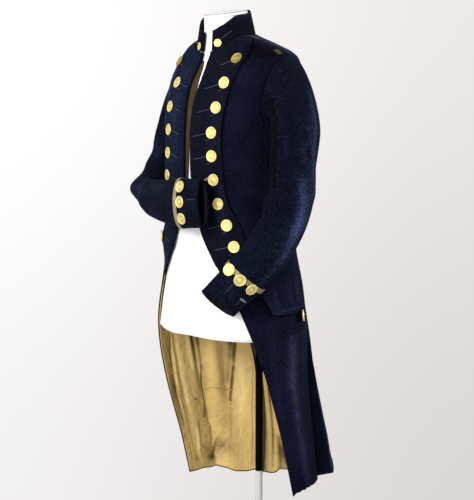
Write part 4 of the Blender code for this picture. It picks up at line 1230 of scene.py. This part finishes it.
def sewn_details():
    """Bars, hooks, holes and stitches that show in the photo."""
    body_strip("hook_left", 1, (14.6, 1.128), (23, 1.14), 0.002, 0.0012, PALE_THREAD,
               sheets("cloth_lapel_left", "cloth_front_left"), taper=0.8)
    for number, (angle, climb, size) in enumerate(FRONT_HOLES, 1):
        body_strip("worn_hole_%d" % number, 1, (angle - 0.5, climb), (angle + 0.5, climb - 0.002),
                   size, 0.0002, HOLE_SHADE, sheets("cloth_front_left"))
    for side, holes in CUFF_HOLES.items():
        name = SIDE_NAMES[side]
        for number, (start, end, half_width) in enumerate(holes, 1):
            sleeve_strip("hole_cuff_%s_%d" % (name, number), side, start, end, half_width, 0.0009,
                         THREAD if half_width < 0.002 else PALE_THREAD,
                         sheets("cloth_cuff_" + name, "cloth_braid_" + name))
    rays = []
    for t in share_list(0, 1, 10):
        foot, axis = collar_foot(1, 33 + 27 * t)
        rays.append((foot + Vector((0, 0, 0.016 + 0.004 * t)), axis))
    ribbon("hole_collar", rays, 0.0009, 0.0007, THREAD, sheets("cloth_collar"))


def facing_strip():
    """The brown facing that shows behind the right front's edge."""
    low, high = FACING_WIDTHS[0][0], FACING_WIDTHS[0][-1]
    rows = []
    for climb in CLIMBS:
        if low <= climb <= high:
            start = edge("right_edge", climb)
            angles = share_list(start - read(*FACING_WIDTHS, climb), start + 5, 8)
            rows.append([body_point(-1, angle, climb, -WALL - LAID_ON - 0.001 * bow)
                         for angle, bow in zip(angles, (0, 1, 1, 1, 1, 0, 0, 0, 0))])
    cloth("facing_right", rows, -1, LINING_WALL, BROWN_FACING, "buff_lining", "laid",
          ["cloth_front_right"], rounding=0)


def lining_seams(side):
    """A seam across the front lining, prick stitches along the facing and its inner edge."""
    name = SIDE_NAMES[side]
    carriers = sheets("cloth_lining_front_" + name)

    def strip(label, places, half_width, height):
        rays = [(point, -axis) for point, axis in (ray(side, place) for place in places)]
        ribbon(label, rays, half_width, height, BUFF_SEAM, carriers, "buff_lining")

    strip("seam_lining_" + name, [(a, 0.612 + 0.004 * sin(a / 4)) for a in share_list(97, 126, 20)],
          0.0009, 0.0008)
    strip("edge_facing_" + name, [(edge(name + "_edge", climb) + FACING_ANGLE, climb)
                                  for climb in share_list(0.44, 0.84, 44)], 0.001, 0.0008)
    for number, climb in enumerate(share_list(0.45, 0.83, 34)):
        angle = edge(name + "_edge", climb) + STITCH_ANGLE
        strip("stitch_%s_%d" % (name, number), [(angle, climb - 0.0022), (angle, climb + 0.0022)],
              0.0005, 0.0005)


def put(tree, socket, value):
    """Links a socket to another one, or gives it a value."""
    if isinstance(value, bpy.types.NodeSocket):
        tree.links.new(value, socket)
    elif socket.type == "RGBA":
        socket.default_value = (*value, 1)
    else:
        socket.default_value = value


def add_node(tree, kind, *values, **named):
    """A new node whose sockets get values or links, by their order or by name, with _ for a space."""
    made = tree.nodes.new("ShaderNode" + kind)
    for socket, value in zip(made.inputs, values):
        put(tree, socket, value)
    for name, value in named.items():
        put(tree, made.inputs[name.replace("_", " ")], value)
    return made


def new_material(name, roughness, metallic=0, specular=0.5):
    made = bpy.data.materials.new(name)
    made.use_nodes = True
    shader = made.node_tree.nodes["Principled BSDF"]
    shader.inputs["Roughness"].default_value = roughness
    shader.inputs["Metallic"].default_value = metallic
    shader.inputs["Specular IOR Level"].default_value = specular
    return made, made.node_tree, shader.inputs


def coords(tree, kind="Object", stretch=(1, 1, 1)):
    """Places in metres, on the object or along its cloth."""
    source = add_node(tree, "TexCoord").outputs[kind]
    return add_node(tree, "Mapping", Vector=source, Scale=stretch).outputs["Vector"]


def noise_value(tree, vector, scale, detail=3, low=0.35, high=0.65):
    texture = add_node(tree, "TexNoise", Vector=vector, Scale=scale, Detail=detail)
    return add_node(tree, "MapRange", texture.outputs["Fac"], low, high).outputs["Result"]


def mix_colour(tree, factor, a, b):
    """factor, a and b are sockets or values."""
    mix = tree.nodes.new("ShaderNodeMix")
    mix.data_type = "RGBA"
    for number, value in ((0, factor), (6, a), (7, b)):
        put(tree, mix.inputs[number], value)
    return mix.outputs[2]


def math_value(tree, operation, *values, clamp=False):
    made = add_node(tree, "Math")
    made.operation = operation
    made.use_clamp = clamp
    for socket, value in zip(made.inputs, values):
        put(tree, socket, value)
    return made.outputs[0]


def product(tree, a, b, clamp=False):
    return math_value(tree, "MULTIPLY", a, b, clamp=clamp)


def attribute_value(tree, name):
    made = tree.nodes.new("ShaderNodeAttribute")
    made.attribute_name = name
    return made.outputs["Fac"]


def bump(tree, inputs, heights):
    """heights are pairs of a socket and the height in metres of its full swing."""
    before = {}
    for height, distance in heights:
        made = add_node(tree, "Bump", Distance=distance, Height=height, **before)
        before = {"Normal": made.outputs["Normal"]}
    put(tree, inputs["Normal"], before["Normal"])


def wool_material(name, dark, light, worn_and_painted_light, sheen=0.1, mottle=0.7):
    """Felted wool: mottled, with a nap, pale where rubbed and where a highlight is painted, dark where
    the nap is gone and where shade is painted.
    """
    made, tree, inputs = new_material("navy wool, " + name, 0.9, specular=0.03)
    inputs["Sheen Weight"].default_value = sheen
    inputs["Sheen Roughness"].default_value = 0.45
    inputs["Sheen Tint"].default_value = (0.3, 0.4, 0.85, 1)
    place = coords(tree)
    broad = noise_value(tree, place, 16, 4, 0.38, 0.66)
    fine = noise_value(tree, place, 190, 5, 0.4, 0.66)
    fleck = noise_value(tree, place, 620, 2, 0.58, 0.72)
    colour = mix_colour(tree, product(tree, broad, mottle), dark, light)
    colour = mix_colour(tree, product(tree, fine, 0.45), colour, light)
    wear = attribute_value(tree, "wear")
    ragged = math_value(tree, "MULTIPLY_ADD", fine, 0.8, product(tree, wear, 0.6))
    colour = mix_colour(tree, product(tree, wear, ragged, clamp=True), colour, worn_and_painted_light)
    colour = mix_colour(tree, product(tree, wear, -1, clamp=True), colour, BARE_AND_SHADED_WOOL)
    colour = mix_colour(tree, product(tree, fleck, 0.35), colour, worn_and_painted_light)
    put(tree, inputs["Base Color"], colour)
    nap = noise_value(tree, place, 420, 4, 0.3, 0.7)
    lumps = noise_value(tree, place, 60, 3, 0.3, 0.7)
    bump(tree, inputs, ((lumps, 0.0014), (nap, 0.0007)))
    return made


def lining_material(name, pale, deep, stain, painted_highlight):
    """Glazed cloth with faint threads: stained, and darkened with painted shade, where its marks are
    above 0; brightened with painted highlights where they are below 0.
    """
    made, tree, inputs = new_material(name, 0.75, specular=0.25)
    place = coords(tree)
    threads = noise_value(tree, coords(tree, "UV", (420, 45, 1)), 1)
    broad = noise_value(tree, place, 11, 4)
    spots = noise_value(tree, place, 75, 4, 0.56, 0.7)
    colour = mix_colour(tree, product(tree, broad, 0.7), pale, deep)
    colour = mix_colour(tree, product(tree, threads, 0.12), colour, deep)
    colour = mix_colour(tree, product(tree, spots, 0.16), colour, stain)
    mark = attribute_value(tree, "stain")
    ragged = math_value(tree, "ADD", broad, 0.75)
    colour = mix_colour(tree, product(tree, mark, ragged, clamp=True), colour, stain)
    colour = mix_colour(tree, product(tree, mark, -1, clamp=True), colour, painted_highlight)
    put(tree, inputs["Base Color"], colour)
    streak = noise_value(tree, coords(tree, "UV", (70, 9, 1)), 1)
    pucker = noise_value(tree, place, 55)
    bump(tree, inputs, ((streak, 0.0004), (pucker, 0.001), (threads, 0.0001)))
    return made


def plain_material(name, colour, roughness, specular=0.5, grain=0):
    made, tree, inputs = new_material(name, roughness, specular=specular)
    spread = noise_value(tree, coords(tree), 30, 4)
    darker = tuple(c * (1 - grain) for c in colour)
    put(tree, inputs["Base Color"], mix_colour(tree, spread, colour, darker))
    return made


def pole_material(name, black, pale):
    """A matt black tube whose lower part is painted pale."""
    made, tree, inputs = new_material(name, 0.9, specular=0.05)
    height = add_node(tree, "SeparateXYZ", coords(tree)).outputs["Z"]
    above = math_value(tree, "GREATER_THAN", height, POLE_PAINT)
    put(tree, inputs["Base Color"], mix_colour(tree, above, pale, black))
    return made


def gilt_material(name, pale, tarnish, share):
    made, tree, inputs = new_material(name, 0.56, 0.75)
    place = coords(tree)
    spread = product(tree, noise_value(tree, place, 140, 4, 0.35, 0.7), share)
    put(tree, inputs["Base Color"], mix_colour(tree, spread, pale, tarnish))
    bump(tree, inputs, ((noise_value(tree, place, 900, 2), 0.00012),))
    return made


def braid_material(name, thread, between, dirty):
    """Ribs of gold thread across the braid, dulled between them."""
    made, tree, inputs = new_material(name, 0.48, 0.55)
    wave = add_node(tree, "TexWave", Vector=coords(tree, "UV"), Scale=BRAID_RIBS, Distortion=0.6)
    wave.wave_type = "BANDS"
    wave.bands_direction = "DIAGONAL"
    ribs = wave.outputs["Fac"]
    dirt = product(tree, noise_value(tree, coords(tree), 60, 4), 0.5)
    put(tree, inputs["Base Color"],
        mix_colour(tree, dirt, mix_colour(tree, ribs, between, thread), dirty))
    bump(tree, inputs, ((ribs, 0.0006),))
    return made


def area_light(name, place, aim, size, power, colour):
    data = bpy.data.lights.new(name, "AREA")
    data.shape = "SQUARE"
    data.size = size
    data.energy = power
    data.color = colour
    made = new_object(name, data)
    made.location = place
    made.rotation_euler = (aim - place).to_track_quat("-Z", "Y").to_euler()


def photo_camera():
    """Matched to the photo: seen from the wearer's front left, a little downwards."""
    turn, pitch = radians(VIEW_ANGLE), radians(VIEW_PITCH)
    right = Vector((cos(turn), sin(turn), 0))
    level = Vector((-sin(turn), cos(turn), 0))
    forward = level * cos(pitch) - Vector((0, 0, sin(pitch)))
    up = level * sin(pitch) + Vector((0, 0, cos(pitch)))
    place = -VIEW_DISTANCE * level + VIEW_SHIFT * right + Vector((0, 0, VIEW_HEIGHT))
    data = bpy.data.cameras.new("camera")
    data.lens = VIEW_LENS
    made = new_object("camera", data)
    made.matrix_world = Matrix((
        (right.x, up.x, -forward.x, place.x), (right.y, up.y, -forward.y, place.y),
        (right.z, up.z, -forward.z, place.z), (0, 0, 0, 1)))
    bpy.context.scene.camera = made
    return right, level


def surroundings(right, level):
    world = bpy.data.worlds.new("studio")
    bpy.context.scene.world = world
    world.use_nodes = True
    tree = world.node_tree
    background = tree.nodes["Background"]
    direction = tree.nodes.new("ShaderNodeTexCoord").outputs["Generated"]

    def towards(axis, low, high):
        """From 0 to 1 as a direction turns to the axis."""
        dot = add_node(tree, "VectorMath", direction, axis)
        dot.operation = "DOT_PRODUCT"
        spread = add_node(tree, "MapRange", dot.outputs["Value"], low, high)
        spread.interpolation_type = "SMOOTHSTEP"
        return spread.outputs["Result"]

    high, low = [mix_colour(tree, towards(right, -0.24, 0.22), *colours)
                 for colours in (BACKDROP_HIGH, BACKDROP_LOW)]
    wall = mix_colour(tree, towards(Vector((0, 0, 1)), -0.36, 0.1), low, high)
    sky = mix_colour(tree, towards(level, 0.45, 0.85), ROOM, wall)
    put(tree, background.inputs["Color"], sky)
    background.inputs["Strength"].default_value = 1
    aim = Vector((0, 0, LIGHT_AIM))
    for name, across, along, height, size, power, colour in LIGHTS:
        area_light(name, right * across + level * along + Vector((0, 0, height)), aim, size,
                   power, colour)
    rings = [[Vector((radius * cos(radians(a)), radius * sin(radians(a)), -0.0005))
              for a in range(0, 360, 5)] for radius in (0.01, FLOOR_RADIUS)]
    floor = grid_object("floor", rings, round_about=True)
    floor.data.materials.append(plain_material("floor", ROOM, 0.9, specular=0.1, grain=0.03))
    bpy.context.scene.view_settings.view_transform = "Standard"


VIEW_ANGLE = 50
VIEW_PITCH = 7.7
VIEW_DISTANCE = 2.6
VIEW_SHIFT = 0.0066
VIEW_HEIGHT = 1.32
VIEW_LENS = 84.96
BACKDROP_HIGH = ((1.06, 1.05, 1.055), (0.84, 0.82, 0.8))      # at the left and the right
BACKDROP_LOW = ((0.9, 0.885, 0.885), (0.7, 0.675, 0.66))
ROOM = (0.46, 0.46, 0.465)
FLOOR_RADIUS = 1
LIGHT_AIM = 1.05        # height at which the lights point
# name, across the view, along it, height, size, power, colour
LIGHTS = (
    ("key", -1.6, -2.1, 2.2, 1, 84, (1, 0.985, 0.96)),
    ("low", -0.9, -2.3, 0.9, 0.8, 26, (1, 0.99, 0.97)),
    ("side", 2.3, 0.1, 1.7, 1, 58, (0.92, 0.96, 1)),
    ("top", 0.2, 0.4, 3.2, 1.2, 2.5, (1, 1, 1)),
)

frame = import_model()

NAVY_DARK = (0.0014, 0.002, 0.0062)
NAVY_LIGHT = (0.0042, 0.0056, 0.015)
NAVY_WORN = (0.03, 0.04, 0.09)
# dark of bare felt and of painted shade
BARE_AND_SHADED_WOOL = (0.0006, 0.0006, 0.0012)
# each wool's third colour is the pale of rubbed felt and of painted highlights
FRONT_WOOL = {
    1: wool_material("left front", (0.0015, 0.0017, 0.0072), (0.0042, 0.0047, 0.0155),
                     (0.03, 0.034, 0.08), sheen=0.015),
    -1: wool_material("right front", NAVY_DARK, NAVY_LIGHT, NAVY_WORN),
}
LAPEL_WOOL = {
    1: wool_material("left lapel", (0.0016, 0.0018, 0.0046), (0.0036, 0.004, 0.0096),
                     NAVY_WORN, sheen=0.04, mottle=0.6),
    -1: wool_material("right lapel", (0.0014, 0.0026, 0.008), (0.0038, 0.0064, 0.018),
                      NAVY_WORN, sheen=0.05, mottle=0.6),
}
FLAP_WOOL = wool_material("flaps", (0.0022, 0.0028, 0.0105), (0.0058, 0.007, 0.022),
                          (0.036, 0.043, 0.1), sheen=0.06)
BACK_WOOL = wool_material("back", NAVY_DARK, NAVY_LIGHT, NAVY_WORN)
SLEEVE_WOOL = {
    1: wool_material("left sleeve", (0.0008, 0.0014, 0.005), (0.0024, 0.0038, 0.011),
                     (0.04, 0.054, 0.13), sheen=0.015, mottle=0.5),
    -1: wool_material("right sleeve", (0.001, 0.0014, 0.004),
                      (0.0036, 0.0046, 0.011), NAVY_WORN, sheen=0.03),
}
COLLAR_WOOL = wool_material("collar", (0.0009, 0.0011, 0.003),
                            (0.0026, 0.003, 0.0072), NAVY_WORN, sheen=0.03)
INSIDE = plain_material("body lining", (0.115, 0.078, 0.04), 0.85, specular=0.2, grain=0.3)
DARK_INSIDE = plain_material("sleeve lining", (0.006, 0.006, 0.009), 0.9, specular=0.1, grain=0.3)
COLLAR_INSIDE = plain_material("collar lining", (0.06, 0.034, 0.014), 0.85, specular=0.2, grain=0.4)
BROWN_FACING = plain_material("brown facing", (0.048, 0.03, 0.007), 0.8, specular=0.2, grain=0.4)
# the third colour is for stained spots and painted shade, the fourth for painted highlights
BUFF = lining_material("buff lining", (0.6, 0.425, 0.155), (0.47, 0.32, 0.1),
                       (0.1, 0.062, 0.018), (0.86, 0.66, 0.3))
BUFF_SEAM = plain_material("lining thread", (0.4, 0.265, 0.09), 0.8, specular=0.2, grain=0.2)
THREAD = plain_material("buttonhole thread", (0.026, 0.028, 0.048), 0.7, specular=0.3, grain=0.3)
PALE_THREAD = plain_material("pale thread", (0.19, 0.19, 0.205), 0.7, specular=0.3, grain=0.3)
# the black inside a worn hole, which is painted shade
HOLE_SHADE = plain_material("worn hole", (0.0015, 0.0015, 0.0022), 1, specular=0)
GILT = gilt_material("gilt", (0.9, 0.79, 0.4), (0.64, 0.5, 0.17), 0.4)
GILT_FIELD = gilt_material("gilt field", (0.76, 0.61, 0.21), (0.4, 0.28, 0.07), 0.6)
OLD_GILT = gilt_material("old gilt", (0.5, 0.4, 0.11), (0.19, 0.13, 0.026), 0.8)
GOLD_BRAID = braid_material("gold braid", (0.56, 0.47, 0.24), (0.13, 0.105, 0.045), (0.19, 0.16, 0.09))
DULL_BRAID = plain_material("dull braid", (0.06, 0.048, 0.025), 0.7, specular=0.2, grain=0.7)
EDGE_GREY = plain_material("form's edge", (0.33, 0.325, 0.32), 0.7, specular=0.2)
PLASTER = plain_material("white form", (0.76, 0.757, 0.752), 0.6, specular=0.3, grain=0.02)
IRON = plain_material("black iron", (0.01, 0.01, 0.012), 0.45, specular=0.5)
POLE = pole_material("pole, black above and pale below", (0.0006, 0.0006, 0.0008), (0.5, 0.485, 0.48))

LARGE_BUTTONS = (button_mesh("button", BUTTON_RADIUS, (GILT, GILT_FIELD)),
                 button_mesh("old button", BUTTON_RADIUS, (OLD_GILT, OLD_GILT)))
SMALL_BUTTON = button_mesh("small button", SMALL_RADIUS, (GILT, GILT_FIELD))

for side in (1, -1):
    panel_piece(side, "front", front_row, FRONT_WOOL[side])
    panel_piece(side, "back", back_row, BACK_WOOL)
    lapel_piece(side)
    sleeve_pieces(side)
    armhole_seam(side)
    flap_piece(side)
    lining_piece(side, "front", lambda *at: front_row(*at)[:-1])
    lining_piece(side, "back", lambda *at: back_row(*at)[1:])
collar_piece()
for side in (1, -1):
    buttons(side)
    buttonholes(side)
    lining_seams(side)
    for number, climb in enumerate(LOOP_CLIMBS, 1):
        shoulder_loop(side, number, climb)
sewn_details()
facing_strip()
neck_edges()

for node, finish, slot in (("form", PLASTER, "dress_form"), ("pole", POLE, "stand"),
                           ("base", IRON, "stand")):
    shown = frame["nodes"][node]
    shown.data.materials.clear()
    shown.data.materials.append(finish)

across_view, along_view = photo_camera()
surroundings(across_view, along_view)
